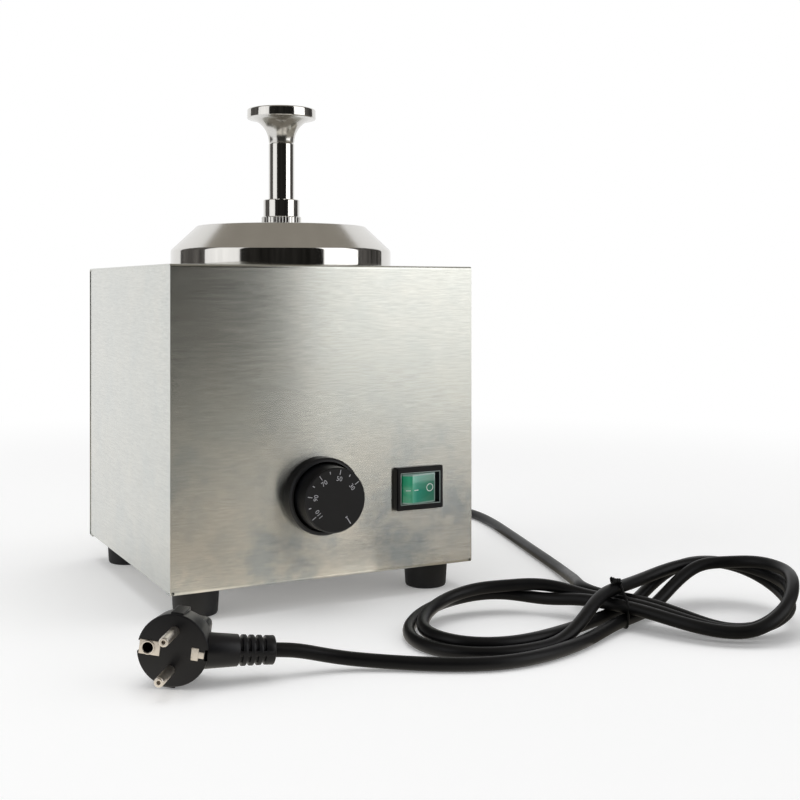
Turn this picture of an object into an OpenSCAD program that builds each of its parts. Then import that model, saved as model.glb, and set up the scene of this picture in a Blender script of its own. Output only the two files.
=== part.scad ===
// Topping warmer: a square cabinet of bent steel with a dry heated well, a lift-out pot,
// a lid with a plunger pump, a thermostat, a lighted rocker and a mains cord in a hank.
// The front faces -Y, Z points up, the floor is at Z 0 and lengths are in millimetres.

/* [Cabinet] */
// Width of the cabinet across its front
cabinet_w = 200; // [198:1:206]
// Depth of the cabinet from front to rear
cabinet_d = 200; // [199:1:206]
// Height of the steel cabinet above its lower flange
cabinet_h = 191; // [190:1:196]
// Thickness of the steel sheet
sheet = 1; // [0.8:0.1:1.2]
// Outside radius of the bends in the sheet
bend_r = 2; // [1.6:0.1:2.6]
// Width of the flange folded under the front and the rear
return_w = 7.5; // [6:0.5:10]

/* [Feet] */
// Radius of a foot under the base
foot_r = 14.3; // [13:0.1:14.5]
// Radius of a foot at the floor
foot_floor_r = 13.3; // [12:0.1:13.5]
// Distance of the foot centres from the cabinet's sides
foot_inset = 22; // [21:0.5:26]

/* [Well and pot] */
// Inside radius of the heated well
well_r = 66; // [65.5:0.1:66.5]
// Outside radius of the pot
pot_r = 64.5; // [64.3:0.1:64.8]
// Height of the pot's floor above the table
pot_floor_z = 98.5; // [98:0.5:102]

/* [Lid] */
// Outside radius of the lid
lid_r = 73; // [72.6:0.1:74]
// Radius of the flat top of the lid
lid_flat_r = 55.5; // [50:0.5:58]
// Height of the lid's upright rim
lid_rim_h = 10.3; // [9:0.1:12]

/* [Pump] */
// Radius of the plunger stem
stem_r = 8.5; // [8:0.1:8.8]
// Radius of the push knob
knob_r = 22.8; // [21:0.1:24]
// Height of the top of the push knob at rest
knob_top_z = 313.3; // [310:0.1:316]
// Number of serrations round the lock nut
nut_serrations = 40; // [30:1:44]
// Reach of the spout from the pump's axis
spout_reach = 146; // [140:1:148]

/* [Controls] */
// Outside radius of the thermostat ring
ring_r = 23.4; // [23:0.1:26]
// Radius of the thermostat knob at its face
dial_r = 18.9; // [18:0.1:19.4]
// Height of the thermostat's axis
dial_z = 68.6; // [66:0.1:70]
// Distance of the thermostat's axis left of the middle
dial_x = -7; // [-9:0.5:-5]
// Height of the switch's middle
switch_z = 68.2; // [66:0.1:70]
// Distance of the switch's middle right of the middle
switch_x = 60.2; // [58:0.1:62]

/* [Cord] */
// Diameter of the mains cord
cord_d = 7.2; // [7:0.1:7.3]
// Radius of the plug's round front
plug_r = 18.5; // [18:0.1:18.8]

/* [Hidden] */
$fn = 64;

// Cabinet levels and faces
base_z = 17;
top_z = base_z + cabinet_h;
front_y = -cabinet_d / 2;
rear_y = cabinet_d / 2;
side_x = cabinet_w / 2;
inner_y = rear_y - sheet;
tray_z = base_z + sheet;
floor_z = tray_z + sheet;
panel_x = side_x - 0.4;
flange_w = 12;
foot_x = side_x - foot_inset;
foot_y = rear_y - foot_inset;

// Axis shared by the well, the pot, the lid and the pump
axis_y = -20;
well_z = 96;
pot_lip_z = top_z + 0.05;
lid_z = top_z + 0.3;
lid_top_z = lid_z + 26.7;
seat_z = top_z + 1.15;

// Pump levels, from the foot valve to the knob
valve_z = 104;
cylinder_z = 112;
cylinder_r = 15;
bore_r = 13.5;
piston_z = 163;
head_z = 178;
tube_r = 12;
tube_bore_r = 10.9;
collar_z = 253;
spout_z = 246.3;
flare_z = 290.6;
spout_angle = 68.35;

// Controls
pivot_y = front_y;
rocker_tilt = 12;

// Cord and gland
gland_x = 62;
gland_z = 40;
gland_end_y = rear_y + 24;
cord_r = cord_d / 2;
wire_r = 0.6;

// Hand-placed points of the free cord from the gland to the hank
cord_points = [
    [62, 142, 40], [64, 160, 36], [76, 180, 25], [98, 194, 13], [128, 198, 6], [162, 190, 3.8],
    [195, 168, 3.8], [216, 138, 3.8], [223, 105, 3.8], [217, 65, 3.8], [205, 20, 3.8],
    [190, -33, 3.8], [173, -93, 3.8], [167, -109, 4.6], [159.5, -124, 6.5], [151, -138, 9],
    [142, -151.5, 11.5], [134, -165, 13.5], [129.9, -178.5, 14]
];
// Hand-placed points of the lead from the hank to the plug
lead_points = [
    [106, -233, 4.5], [90, -241, 3.9], [72, -248.5, 3.8], [48, -254.5, 3.8], [24, -254, 3.8],
    [0, -244, 3.8], [-22, -230, 4.2], [-46, -218, 6.6]
];
// Plug placed on the floor, its pins level and pointing to the left front
plug_at = [-131, -208, 19];
plug_turn = -32.6;
plug_roll = 7;
relief_end = [-78, -212.5, 13.5];

// Figure-eight hank: centre, loop lengths, half widths, tilts, fullness and layer heights
hank_x = 132.1;
hank_y = -211.4;
lobe_right = 99.9;
lobe_left = 122.9;
half_right = 51.4;
half_left = 54;
tilt_right = -27;
tilt_left = -8.3;
skew_right = 0.15;
skew_left = 0.1;
low_z = 5.1;
high_z = 20.7;
fullness = 0.6;
side_angle = 50;
strand_step = 7.8;
wide_step = 8.5;
lead_shift = -9;
right_twist = [0, 10, 90, 170];
right_level = [12.9, 6, 20, 26];
left_twist = [0, 17, 25, 40, 180];
left_level = [0, 4.9, 5.5, 14, 12.9];
left_shift = [0, 0.5, 0, 0, 3.9];
rings_per_lobe = 24;
lobes = 5;

// Twist tie round the waist of the hank: turn, half width, shift and half height
tie_turn = 74;
tie_half = 21;
tie_shift = -2;
tie_high = 12.8;
tie_mid = wire_r + tie_high;

function unit(v) = v / norm(v);
function corner_power(v) = sign(v) * sqrt(abs(v));
function mix(a, b, w) = a + (b - a) * w;
function ease(x) = let (c = min(1, max(0, x))) c * c * (3 - 2 * c);

// Catmull-Rom point between p[i] and p[i + 1]
function spline(p, i, u) =
    let (
        a = p[max(i - 1, 0)],
        b = p[i],
        c = p[i + 1],
        d = p[min(i + 2, len(p) - 1)]
    )
    0.5 * (2 * b + (c - a) * u + (2 * a - 5 * b + 4 * c - d) * u * u + (3 * b - a - 3 * c + d) * u * u * u);
function route(p, n) = concat(
    [for (i = [0 : len(p) - 2]) for (k = [0 : n - 1]) spline(p, i, k / n)],
    [p[len(p) - 1]]
);
function heading(p, i) = unit(p[min(i + 1, len(p) - 1)] - p[max(i - 1, 0)]);

// Lateral shift and height of a strand at angle phi of the hank, set at five stations of a loop
function lobe_of(phi) = min(floor(phi / 180), lobes - 1);
function right_offset(m, k, u) =
    let (w = k == 0 ? ease((u - 0.08) / 0.92) : ease(u), v = ease((u - 0.1) / 0.75))
    k < 3
    ? let (
        t = mix(right_twist[k], right_twist[k + 1], w),
        z = mix(right_level[k], right_level[k + 1], w),
        g = k == 0 ? mix(strand_step, wide_step, w) : wide_step
    )
        [m * g * cos(t), z + m * g * sin(t)]
    : [
        mix(m * wide_step * cos(right_twist[3]), m > 0 ? lead_shift : -m * 4.1, v * v),
        mix(right_level[3] + m * wide_step * sin(right_twist[3]), m == 0 ? high_z : low_z, v)
    ];
function left_offset(s, k, u) =
    let (w = ease(u), v = ease((u - 0.15) / 0.75), q = k == 3 ? ease(u / 0.8) : w)
    k == 0
    ? [
        mix(s > 0 ? 4.1 : 0, left_shift[1] + s * wide_step * cos(left_twist[1]), 1 - (1 - v) * (1 - v)),
        mix(s > 0 ? low_z : high_z, left_level[1] + s * wide_step * sin(left_twist[1]), v)
    ]
    : let (
        t = mix(left_twist[k], left_twist[k + 1], q),
        g = k == 3 ? mix(wide_step, strand_step, w) : wide_step
    )
    [
        mix(left_shift[k], left_shift[k + 1], w) + s * g * cos(t),
        mix(left_level[k], left_level[k + 1], w) + s * g * sin(t)
    ];
function station(p, side) =
    p < side ? p / side : p < 180 - side ? 2 + (p - 90) / (90 - side) : 4 - (180 - p) / side;
function strand_offset(phi) =
    let (
        i = lobe_of(phi),
        t = station(phi - i * 180, i % 2 == 0 ? side_angle : 45),
        k = min(floor(t), 3)
    )
    i % 2 == 0 ? right_offset(i / 2 - 1, k, t - k) : left_offset(i == 1 ? 0.5 : -0.5, k, t - k);
function hank_plan(phi) =
    let (
        w = (1 + sin(phi)) / 2,
        t = mix(tilt_left, tilt_right, w),
        g = 1 + fullness * cos(phi) * cos(phi),
        q = -2 * mix(half_left, half_right, w) * sin(phi) * cos(phi) / g,
        s = mix(lobe_left, lobe_right, w) * sin(phi) / g + mix(skew_left, skew_right, w) * q
    )
    [hank_x + s * cos(t) - q * sin(t), hank_y + s * sin(t) + q * cos(t)];
function hank_point(phi) =
    let (
        t = unit(hank_plan(phi + 0.06) - hank_plan(phi - 0.06)),
        o = strand_offset(phi),
        c = hank_plan(phi)
    )
    [c[0] + o[0] * t[1], c[1] - o[0] * t[0], o[1]];

hank_core = [for (i = [0 : rings_per_lobe * lobes]) hank_point(i * 180 / rings_per_lobe)];
hank_last = len(hank_core) - 1;
hank_in = unit([hank_core[1][0] - hank_core[0][0], hank_core[1][1] - hank_core[0][1], 0]);
hank_out = unit([
    hank_core[hank_last][0] - hank_core[hank_last - 1][0],
    hank_core[hank_last][1] - hank_core[hank_last - 1][1],
    0
]);
hank_start = hank_core[0] - 8 * hank_in;
hank_end = hank_core[hank_last] + 8 * hank_out;
hank_path = concat([hank_start], hank_core, [hank_end]);
cord_start = [gland_x, gland_end_y, gland_z];
cord_path = concat(
    [cord_start],
    route(concat([cord_start + [0, 8, 0]], cord_points, [hank_start - 9 * hank_in]), 2),
    [hank_start]
);
relief_dir = unit([1, -0.14, -0.09]);
lead_path = concat(
    [hank_end],
    route(concat([hank_end + 9 * hank_out], lead_points, [relief_end + 9 * relief_dir]), 2),
    [relief_end]
);

// Least gap of the whole cord to itself, measured along points 4 to a ring
whole_path = concat(cord_path, hank_path, lead_path);
fine_path = [
    for (i = [0 : len(whole_path) - 2]) for (k = [0 : 3]) mix(whole_path[i], whole_path[i + 1], k / 4)
];
least_gap = min([
    for (i = [0 : len(fine_path) - 13]) min([
        for (j = [i + 12 : len(fine_path) - 1])
            abs(fine_path[i][2] - fine_path[j][2]) > 9 ? 99 : norm(fine_path[i] - fine_path[j])
    ])
]) - cord_d;
function path_length(p) = [for (i = 0, s = 0; i < len(p); s = i < len(p) - 1 ? s + norm(p[i + 1] - p[i]) : s, i = i + 1) s][len(p) - 1];
echo(least_gap = least_gap, length = path_length(whole_path));

// Round tube through a list of points with flat ends
module tube(p, r, sides) {
    last = len(p) - 1;
    ring_points = [
        for (i = [0 : last])
            let (t = heading(p, i), a = unit(cross(t, [0, 0, 1])), b = cross(a, t))
                for (k = [0 : sides - 1]) p[i] + r * (cos(k * 360 / sides) * a + sin(k * 360 / sides) * b)
    ];
    walls = [
        for (i = [0 : last - 1])
            for (k = [0 : sides - 1])
                for (f = [0, 1])
                    f == 0
                    ? [i * sides + k, i * sides + (k + 1) % sides, (i + 1) * sides + (k + 1) % sides]
                    : [i * sides + k, (i + 1) * sides + (k + 1) % sides, (i + 1) * sides + k]
    ];
    caps = [
        [for (k = [sides - 1 : -1 : 0]) k],
        [for (k = [0 : sides - 1]) last * sides + k]
    ];
    polyhedron(points = ring_points, faces = concat(walls, caps), convexity = 10);
}

// Closed ring of wire through a list of points
module closed_tube(p, r, sides, n) {
    count = len(p);
    ring_points = [
        for (i = [0 : count - 1])
            let (t = unit(p[(i + 1) % count] - p[(i + count - 1) % count]), b = cross(n, t))
                for (k = [0 : sides - 1]) p[i] + r * (cos(k * 360 / sides) * n + sin(k * 360 / sides) * b)
    ];
    walls = [
        for (i = [0 : count - 1])
            for (k = [0 : sides - 1])
                for (f = [0, 1])
                    let (j = (i + 1) % count, m = (k + 1) % sides)
                        f == 0
                        ? [i * sides + k, j * sides + m, i * sides + m]
                        : [i * sides + k, j * sides + k, j * sides + m]
    ];
    polyhedron(points = ring_points, faces = walls, convexity = 10);
}

// Rectangle with round corners, drawn from its middle
module round_rect(w, h, r) {
    square([w - 2 * r, h], center = true);
    square([w, h - 2 * r], center = true);
    for (x = [-1, 1])
        for (y = [-1, 1])
            translate([x * (w / 2 - r), y * (h / 2 - r)])
                circle(r);
}

// Upright disc or bore between two heights on the pump's axis
module on_axis() {
    translate([0, axis_y, 0])
        children();
}

// Section in the Y-Z plane pulled along X, middle at the cabinet's centre
module along_x(len_x) {
    translate([0, 0, base_z + cabinet_h / 2])
        rotate([90, 0, 90])
            linear_extrude(len_x, center = true)
                children();
}

// Cylinder along Y from y0 to y1
module along_y(x, z, y0, y1, r) {
    translate([x, max(y0, y1), z])
        rotate([90, 0, 0])
            cylinder(r = r, h = abs(y1 - y0));
}

// Front, top and rear folded from one sheet, with flanges turned in below
module outer_wrap() {
    color("silver")
        difference() {
            along_x(cabinet_w)
                difference() {
                    round_rect(cabinet_d, cabinet_h, bend_r);
                    round_rect(cabinet_d - 2 * sheet, cabinet_h - 2 * sheet, bend_r - sheet);
                    translate([0, -cabinet_h / 2])
                        square([cabinet_d - 2 * return_w, 6], center = true);
                }
            on_axis()
                translate([0, 0, top_z - 3])
                    cylinder(r = well_r, h = 6);
            along_y(dial_x, dial_z, front_y - 1, front_y + 2, 5);
            for (s = [-14, 14])
                along_y(dial_x + s, dial_z, front_y - 1, front_y + 2, 2.1);
            translate([switch_x, front_y, switch_z])
                cube([28.4, 6, 22.4], center = true);
            along_y(gland_x, gland_z, rear_y - 2, rear_y + 1, 6.5);
            for (x = [-1, 1])
                for (y = [-1, 1])
                    along_y(x * (side_x - 1.6), base_z + 1.4, y * (rear_y + 1), y * (rear_y - 1.5), 1);
        }
}

// Side sheet tucked inside the wrap, its four edges folded inward
module side_panel(s) {
    difference() {
        translate([s * (panel_x - flange_w / 2), 0, 0])
            along_x(flange_w)
                round_rect(cabinet_d - 2 * sheet, cabinet_h - 2 * sheet, bend_r - sheet);
        translate([s * (panel_x - sheet - flange_w / 2), 0, 0])
            along_x(flange_w)
                round_rect(cabinet_d - 4 * sheet, cabinet_h - 4 * sheet, 0.3);
        for (y = [-60, 0, 60])
            translate([s * (panel_x - 6), y, tray_z - 1])
                cylinder(r = 1.55, h = 3, $fn = 24);
        for (y = [-1, 1])
            along_y(s * (side_x - 1.6), base_z + 1.4, y * (rear_y - 0.5), y * (rear_y - 3.5), 1);
    }
}

module side_panel_left() {
    color("silver")
        side_panel(-1);
}

module side_panel_right() {
    color("silver")
        side_panel(1);
}

// Flat base resting on the side flanges, slotted for cooling air
module base_plate() {
    color("silver")
        difference() {
            translate([-(panel_x - 2), -(inner_y - 1.4), floor_z])
                cube([2 * (panel_x - 2), 2 * (inner_y - 1.4), sheet]);
            for (x = [-1, 1])
                for (y = [-1, 1])
                    translate([x * foot_x, y * foot_y, floor_z - 1])
                        cylinder(r = 2.1, h = 3, $fn = 32);
            for (s = [-1, 1])
                for (y = [-60, 0, 60])
                    translate([s * (panel_x - 6), y, floor_z - 1])
                        cylinder(r = 1.55, h = 3, $fn = 24);
            for (x = [-35 : 14 : 35])
                for (y = [-32, 32])
                    translate([x, y, floor_z]) {
                        cube([4, 32, 4], center = true);
                        for (e = [-16, 16])
                            translate([0, e, -1])
                                cylinder(r = 2, h = 3, $fn = 24);
                    }
            translate([70, 30, floor_z - 1])
                cylinder(r = 2.1, h = 3, $fn = 32);
        }
}

// Screws through the side flanges into the base
module base_screws() {
    color("gainsboro")
        for (s = [-1, 1])
            for (y = [-60, 0, 60])
                translate([s * (panel_x - 6), y, 0]) {
                    difference() {
                        translate([0, 0, base_z - 0.8])
                            cylinder(r = 2.8, h = 1.8, $fn = 32);
                        translate([0, 0, base_z - 1.2])
                            cube([0.8, 4, 1.4], center = true);
                    }
                    translate([0, 0, tray_z])
                        cylinder(r = 1.5, h = 7, $fn = 24);
                }
}

// Four rubber feet, hollow below for the screw heads
module feet() {
    color([0.12, 0.12, 0.12])
        for (x = [-1, 1])
            for (y = [-1, 1])
                translate([x * foot_x, y * foot_y, 0])
                    rotate_extrude()
                        polygon([
                            [5, 0], [foot_floor_r - 1.6, 0], [foot_floor_r - 0.5, 0.45], [foot_floor_r, 1.6],
                            [foot_r, tray_z], [9, tray_z], [9, floor_z], [2.05, floor_z], [2.05, 9], [5, 9]
                        ]);
}

// Screw, washer and nut that hold each foot
module foot_screws() {
    color("gainsboro")
        for (x = [-1, 1])
            for (y = [-1, 1])
                translate([x * foot_x, y * foot_y, 0]) {
                    difference() {
                        translate([0, 0, 6.4])
                            cylinder(r = 4, h = 2.6, $fn = 40);
                        translate([0, 0, 6.4])
                            cube([1, 5, 2.4], center = true);
                        translate([0, 0, 6.4])
                            cube([5, 1, 2.4], center = true);
                    }
                    translate([0, 0, 9])
                        cylinder(r = 2, h = 16, $fn = 32);
                    translate([0, 0, floor_z + sheet])
                        difference() {
                            cylinder(r = 4.5, h = 0.8, $fn = 40);
                            translate([0, 0, -1])
                                cylinder(r = 2, h = 3, $fn = 32);
                        }
                    translate([0, 0, floor_z + sheet + 0.8])
                        difference() {
                            cylinder(r = 4, h = 3.2, $fn = 6);
                            translate([0, 0, -1])
                                cylinder(r = 2, h = 6, $fn = 32);
                        }
                }
}

// Deep-drawn dry well hung by its flange under the top sheet
module heated_well() {
    color("silver")
        on_axis()
            rotate_extrude()
                difference() {
                    union() {
                        translate([0, well_z])
                            square([well_r + sheet - 8, 8]);
                        translate([0, well_z + 8])
                            square([well_r + sheet, top_z - sheet - well_z - 8]);
                        translate([well_r + sheet - 8, well_z + 8])
                            intersection() {
                                circle(8);
                                translate([0, -8])
                                    square([8, 8]);
                            }
                        translate([0, top_z - 2 * sheet])
                            square([76, sheet]);
                    }
                    translate([0, well_z + sheet])
                        square([well_r - 7, 7]);
                    translate([0, well_z + 8])
                        square([well_r, 200]);
                    translate([well_r - 7, well_z + 8])
                        intersection() {
                            circle(7);
                            translate([0, -7])
                                square([7, 7]);
                        }
                }
}

// Aluminium plate that spreads the heat under the well
module heater_plate() {
    color("lightgray")
        on_axis()
            difference() {
                translate([0, 0, 90])
                    cylinder(r = 50, h = well_z - 90);
                for (a = [45 : 90 : 315])
                    rotate([0, 0, a])
                        translate([44, 0, 89])
                            cylinder(r = 2, h = 5, $fn = 24);
            }
}

// Sheathed ring element with its two cold ends
module heater_element() {
    color("dimgray")
        on_axis() {
            rotate_extrude()
                translate([34, 86])
                    circle(4, $fn = 40);
            for (a = [60, 80])
                rotate([0, 0, a])
                    translate([34, 0, 62])
                        cylinder(r = 2.4, h = 20.3, $fn = 32);
        }
}

// Snap disc that opens the circuit if the well runs too hot
module thermal_cutout() {
    color([0.35, 0.3, 0.26])
        on_axis() {
            translate([0, 0, 81])
                cylinder(r = 8, h = 9);
            for (s = [-1, 1])
                translate([s * 4 - 0.4, -3, 72])
                    cube([0.8, 6, 9]);
        }
}

// Ceramic block where the cord, the switch and the heater wires meet
module terminal_block() {
    color("ivory")
        difference() {
            translate([20, 66, floor_z + sheet])
                cube([34, 18, 16]);
            for (i = [0 : 2]) {
                translate([26 + i * 11, 70, floor_z + 10])
                    cylinder(r = 2.6, h = 20, $fn = 32);
                translate([26 + i * 11, 80, floor_z + 10])
                    cylinder(r = 2.6, h = 20, $fn = 32);
                along_y(26 + i * 11, floor_z + 7, 65, 85, 2);
            }
        }
}

// Earth stud with its nut on the base
module earth_stud() {
    color("goldenrod")
        translate([70, 30, 0]) {
            translate([0, 0, floor_z - 1.5])
                cylinder(r = 3.8, h = 1.5, $fn = 40);
            translate([0, 0, floor_z])
                cylinder(r = 2, h = 16, $fn = 32);
            translate([0, 0, floor_z + sheet])
                difference() {
                    cylinder(r = 4, h = 3.2, $fn = 6);
                    translate([0, 0, -1])
                        cylinder(r = 2, h = 6, $fn = 32);
                }
        }
}

// Capillary thermostat behind the front, with its blades
module thermostat_body() {
    color("gainsboro") {
        translate([dial_x - 14, front_y + 2 * sheet, 49])
            cube([28, 27, 37]);
        for (s = [-1, 1])
            translate([dial_x + s * 7 - 3.15, front_y + 2 * sheet + 27, 56])
                cube([6.3, 8, 0.8]);
    }
}

// Strap that takes the two screws of the thermostat ring
module thermostat_bracket() {
    color("silver")
        difference() {
            translate([dial_x - 22, front_y + sheet, dial_z - 8])
                cube([44, sheet, 16]);
            along_y(dial_x, dial_z, front_y, front_y + 4, 5);
            for (s = [-14, 14])
                along_y(dial_x + s, dial_z, front_y, front_y + 4, 1.6);
        }
}

// Fine copper tube from the thermostat to the bulb on the well
module capillary_tube() {
    color("peru")
        tube(route([
            [dial_x - 14, front_y + 16, 80], [dial_x - 18, front_y + 16, 80], [-34, -82, 78],
            [-48, -76, 82], [-58, -68, 92], [-57, -66.4, 100], [-53.2, -65.6, 107]
        ], 3), 0.9, 8);
}

// Sensing bulb held upright against the well's wall
module sensor_bulb() {
    color("peru")
        translate([-53, -66.6, 108])
            cylinder(r = 3, h = 62, $fn = 40);
}

// Black trim ring behind the thermostat knob
module thermostat_ring() {
    color([0.12, 0.12, 0.13])
        translate([dial_x, front_y, dial_z])
            rotate([90, 0, 0])
                difference() {
                    rotate_extrude()
                        polygon([
                            [5, 0], [ring_r, 0], [ring_r, 8.6], [ring_r - 1.2, 9.8], [ring_r - 2.2, 10],
                            [20.9, 9.4], [20.9, 2], [5, 2]
                        ]);
                    for (s = [-14, 14])
                        translate([s, 0, -1])
                            cylinder(r = 2.1, h = 4, $fn = 32);
                }
    color("gainsboro")
        for (s = [-14, 14]) {
            along_y(dial_x + s, dial_z, front_y - 3.6, front_y - 2, 3.4);
            along_y(dial_x + s, dial_z, front_y - 2, front_y + sheet, 2.05);
            along_y(dial_x + s, dial_z, front_y + sheet, front_y + 2 * sheet - 0.02, 1.6);
        }
}

// Thermostat knob, slightly narrower at its face, hollow behind
module thermostat_knob() {
    color([0.12, 0.12, 0.13])
        translate([dial_x, front_y, dial_z])
            rotate([90, 0, 0])
                rotate_extrude()
                    polygon([
                        [3.02, 2.4], [7, 2.4], [7, 6], [17.5, 6], [17.5, 2.4], [20.2, 2.4], [19.9, 6],
                        [dial_r + 0.5, 23.2], [dial_r - 0.3, 24], [0, 24], [0, 16.05], [3.02, 16.05]
                    ]);
}

// Spindle of the thermostat turning with the knob
module thermostat_shaft() {
    color("silver")
        difference() {
            along_y(dial_x, dial_z, front_y - 16, front_y + 1.9, 3);
            translate([dial_x, front_y - 12, dial_z + 4.4])
                cube([8, 9, 4], center = true);
        }
}

// Snap-in switch body with its rim
module switch_housing() {
    color([0.1, 0.1, 0.1])
        translate([switch_x, front_y, switch_z])
            rotate([90, 0, 0])
                difference() {
                    union() {
                        linear_extrude(3.6)
                            round_rect(33, 27, 1.2);
                        translate([0, 0, 3.6])
                            linear_extrude(0.9)
                                round_rect(31.4, 25.4, 1);
                        translate([-14.1, -11.1, -20])
                            cube([28.2, 22.2, 20]);
                    }
                    translate([-13.5, -9.5, -12])
                        cube([27, 19, 30]);
                    for (s = [-1, 1])
                        rotate([90, 0, 0])
                            translate([0, 0, s * 10.1])
                                cylinder(r = 1.55, h = 1.4, center = true, $fn = 32);
                }
}

// Rocker pivoting about an upright pin, left end out in the off position
module switch_rocker() {
    color([0.1, 0.45, 0.35])
        translate([switch_x, pivot_y, switch_z])
            rotate([0, 0, rocker_tilt]) {
                linear_extrude(18.6, center = true)
                    polygon([
                        [-11, 6], [-12.9, 0], [-13.2, -1.8], [-9.25, -6.5], [9.25, -6.5],
                        [13.2, -1.8], [12.9, 0], [11, 6]
                    ]);
                cylinder(r = 1.5, h = 21.2, center = true, $fn = 32);
            }
}

// Four blades at the rear of the switch
module switch_terminals() {
    color("goldenrod")
        for (x = [-7, 7])
            for (z = [-5, 5])
                translate([switch_x + x - 0.4, front_y + 20, switch_z + z - 3.15])
                    cube([0.8, 9, 6.3]);
}

// Rubber bush that seals and relieves the cord at the rear
module cord_gland() {
    color([0.1, 0.1, 0.1])
        translate([gland_x, rear_y, gland_z])
            rotate([-90, 0, 0])
                rotate_extrude()
                    polygon([
                        [0, -5], [8.5, -5], [8.5, -sheet], [6.5, -sheet], [6.5, 0], [9.5, 0], [9.5, 3.5],
                        [8.6, 4.4], [7, 5], [6.4, 7.5], [4.9, 24], [0, 24]
                    ]);
}

// Free cord from the gland to the hank
module power_cord() {
    color([0.08, 0.08, 0.08])
        tube(cord_path, cord_r, 8);
}

// Three turns of cord laid in a figure eight
module cord_hank() {
    color([0.08, 0.08, 0.08])
        tube(hank_path, cord_r, 8);
}

// Lead from the hank to the plug's strain relief
module cord_lead() {
    color([0.08, 0.08, 0.08])
        tube(lead_path, cord_r, 8);
}

// Coated wire round the waist of the hank
module twist_tie() {
    n = [sin(tie_turn), -cos(tie_turn), 0];
    color([0.06, 0.06, 0.06])
        closed_tube([
            for (a = [0 : 10 : 350])
                [
                    hank_x + (tie_shift + tie_half * corner_power(cos(a))) * cos(tie_turn),
                    hank_y + (tie_shift + tie_half * corner_power(cos(a))) * sin(tie_turn),
                    tie_mid + tie_high * corner_power(sin(a))
                ]
        ], wire_r, 6, n);
}

// Local frame of the plug: X to the right seen from the pins, Z toward the wall
module at_plug() {
    translate(plug_at)
        rotate([0, 0, plug_turn])
            rotate([90, 0, 0])
                rotate([0, 0, plug_roll])
                    children();
}

// Moulded angled plug with keyed sides and a ribbed strain relief
module plug_body() {
    color([0.09, 0.09, 0.09]) {
        difference() {
            at_plug()
                difference() {
                    union() {
                        translate([0, 0, -15])
                            rotate_extrude()
                                polygon([[0, 0], [plug_r - 1.2, 0], [plug_r - 0.2, 1], [plug_r, 15], [0, 15]]);
                        translate([0, 0, -26])
                            linear_extrude(11)
                                round_rect(26, 24, 4);
                    }
                    for (s = [-1, 1])
                        translate([s * (plug_r + 0.2), 0, -4])
                            cube([5, 5.4, 18], center = true);
                    translate([-12, 0, -8])
                        cylinder(r = 2.6, h = 20, $fn = 32);
                    for (s = [-1, 1])
                        translate([0, s * 9.5, -10])
                            cylinder(r = 2.4, h = 20, $fn = 32);
                    translate([-16.4, -3.5, -0.8])
                        cube([10.4, 7, 2]);
                    translate([9.5, -3.5, -0.8])
                        cube([4.5, 7, 2]);
                }
        }
        plug_relief();
    }
}

// Tapered, slotted sleeve where the lead enters the plug
module plug_relief() {
    yaw = atan2(relief_dir[1], relief_dir[0]);
    pitch = -asin(relief_dir[2]);
    translate(relief_end)
        rotate([0, pitch, yaw])
            rotate([0, -90, 0])
                difference() {
                    rotate_extrude()
                        polygon([[0, 0], [5.3, 0], [5.3, 3], [4.7, 3.6], [6.6, 24], [8.6, 32], [0, 32]]);
                    for (i = [0 : 3])
                        for (s = [-1, 1])
                            translate([s * 7.2, 0, 7 + i * 5.4])
                                cube([6, 20, 2.2], center = true);
                }
}

// Two round pins of the plug
module plug_pins() {
    color("gainsboro")
        at_plug()
            for (s = [-1, 1])
                translate([0, s * 9.5, -10])
                    rotate_extrude($fn = 48)
                        polygon([[0, 0], [2.4, 0], [2.4, 28.2], [1.6, 29], [0, 29]]);
}

// Earth socket plate and side clip of the plug
module plug_earth() {
    color("gainsboro")
        at_plug() {
            difference() {
                translate([-16.4, -3.5, -0.8])
                    cube([10.4, 7, 0.9]);
                translate([-12, 0, -3])
                    cylinder(r = 2.6, h = 5, $fn = 32);
            }
            translate([9.5, -3.5, -0.8])
                cube([4.5, 7, 0.9]);
        }
}

// Lift-out pot with a rolled lip resting on the top
module pot() {
    color("silver")
        on_axis()
            rotate_extrude()
                difference() {
                    union() {
                        translate([0, pot_floor_z])
                            square([pot_r - 10, 10]);
                        translate([0, pot_floor_z + 10])
                            square([pot_r, pot_lip_z + 1 - pot_floor_z - 10]);
                        translate([pot_r - 10, pot_floor_z + 10])
                            intersection() {
                                circle(10);
                                translate([0, -10])
                                    square([10, 10]);
                            }
                        translate([0, pot_lip_z])
                            square([71, 1]);
                    }
                    translate([0, pot_floor_z + 0.8])
                        square([pot_r - 10, 9.2]);
                    translate([0, pot_floor_z + 10])
                        square([pot_r - 0.8, 200]);
                    translate([pot_r - 10, pot_floor_z + 10])
                        intersection() {
                            circle(9.2);
                            translate([0, -9.2])
                                square([9.2, 9.2]);
                        }
                }
}

// Spun lid: upright rim, conical shoulder and flat top with the pump hole
module lid() {
    color("silver")
        on_axis()
            rotate_extrude($fn = 96)
                polygon([
                    [lid_r - 1, lid_z], [lid_r, lid_z], [lid_r, lid_z + lid_rim_h],
                    [lid_flat_r + 0.6, lid_top_z - 0.35], [lid_flat_r - 0.4, lid_top_z],
                    [tube_r + 0.05, lid_top_z], [tube_r + 0.05, lid_top_z - 1], [lid_flat_r - 0.7, lid_top_z - 1],
                    [lid_r - 1, lid_z + lid_rim_h - 0.5]
                ]);
}

// Ring inside the lid that centres it in the pot
module lid_ring() {
    color("silver")
        on_axis()
            rotate_extrude($fn = 96)
                polygon([
                    [lid_r - 1, seat_z], [lid_r - 1, seat_z + 1], [61.9, seat_z + 1], [61.9, seat_z - 11],
                    [62.9, seat_z - 11], [62.9, seat_z]
                ]);
}

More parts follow.
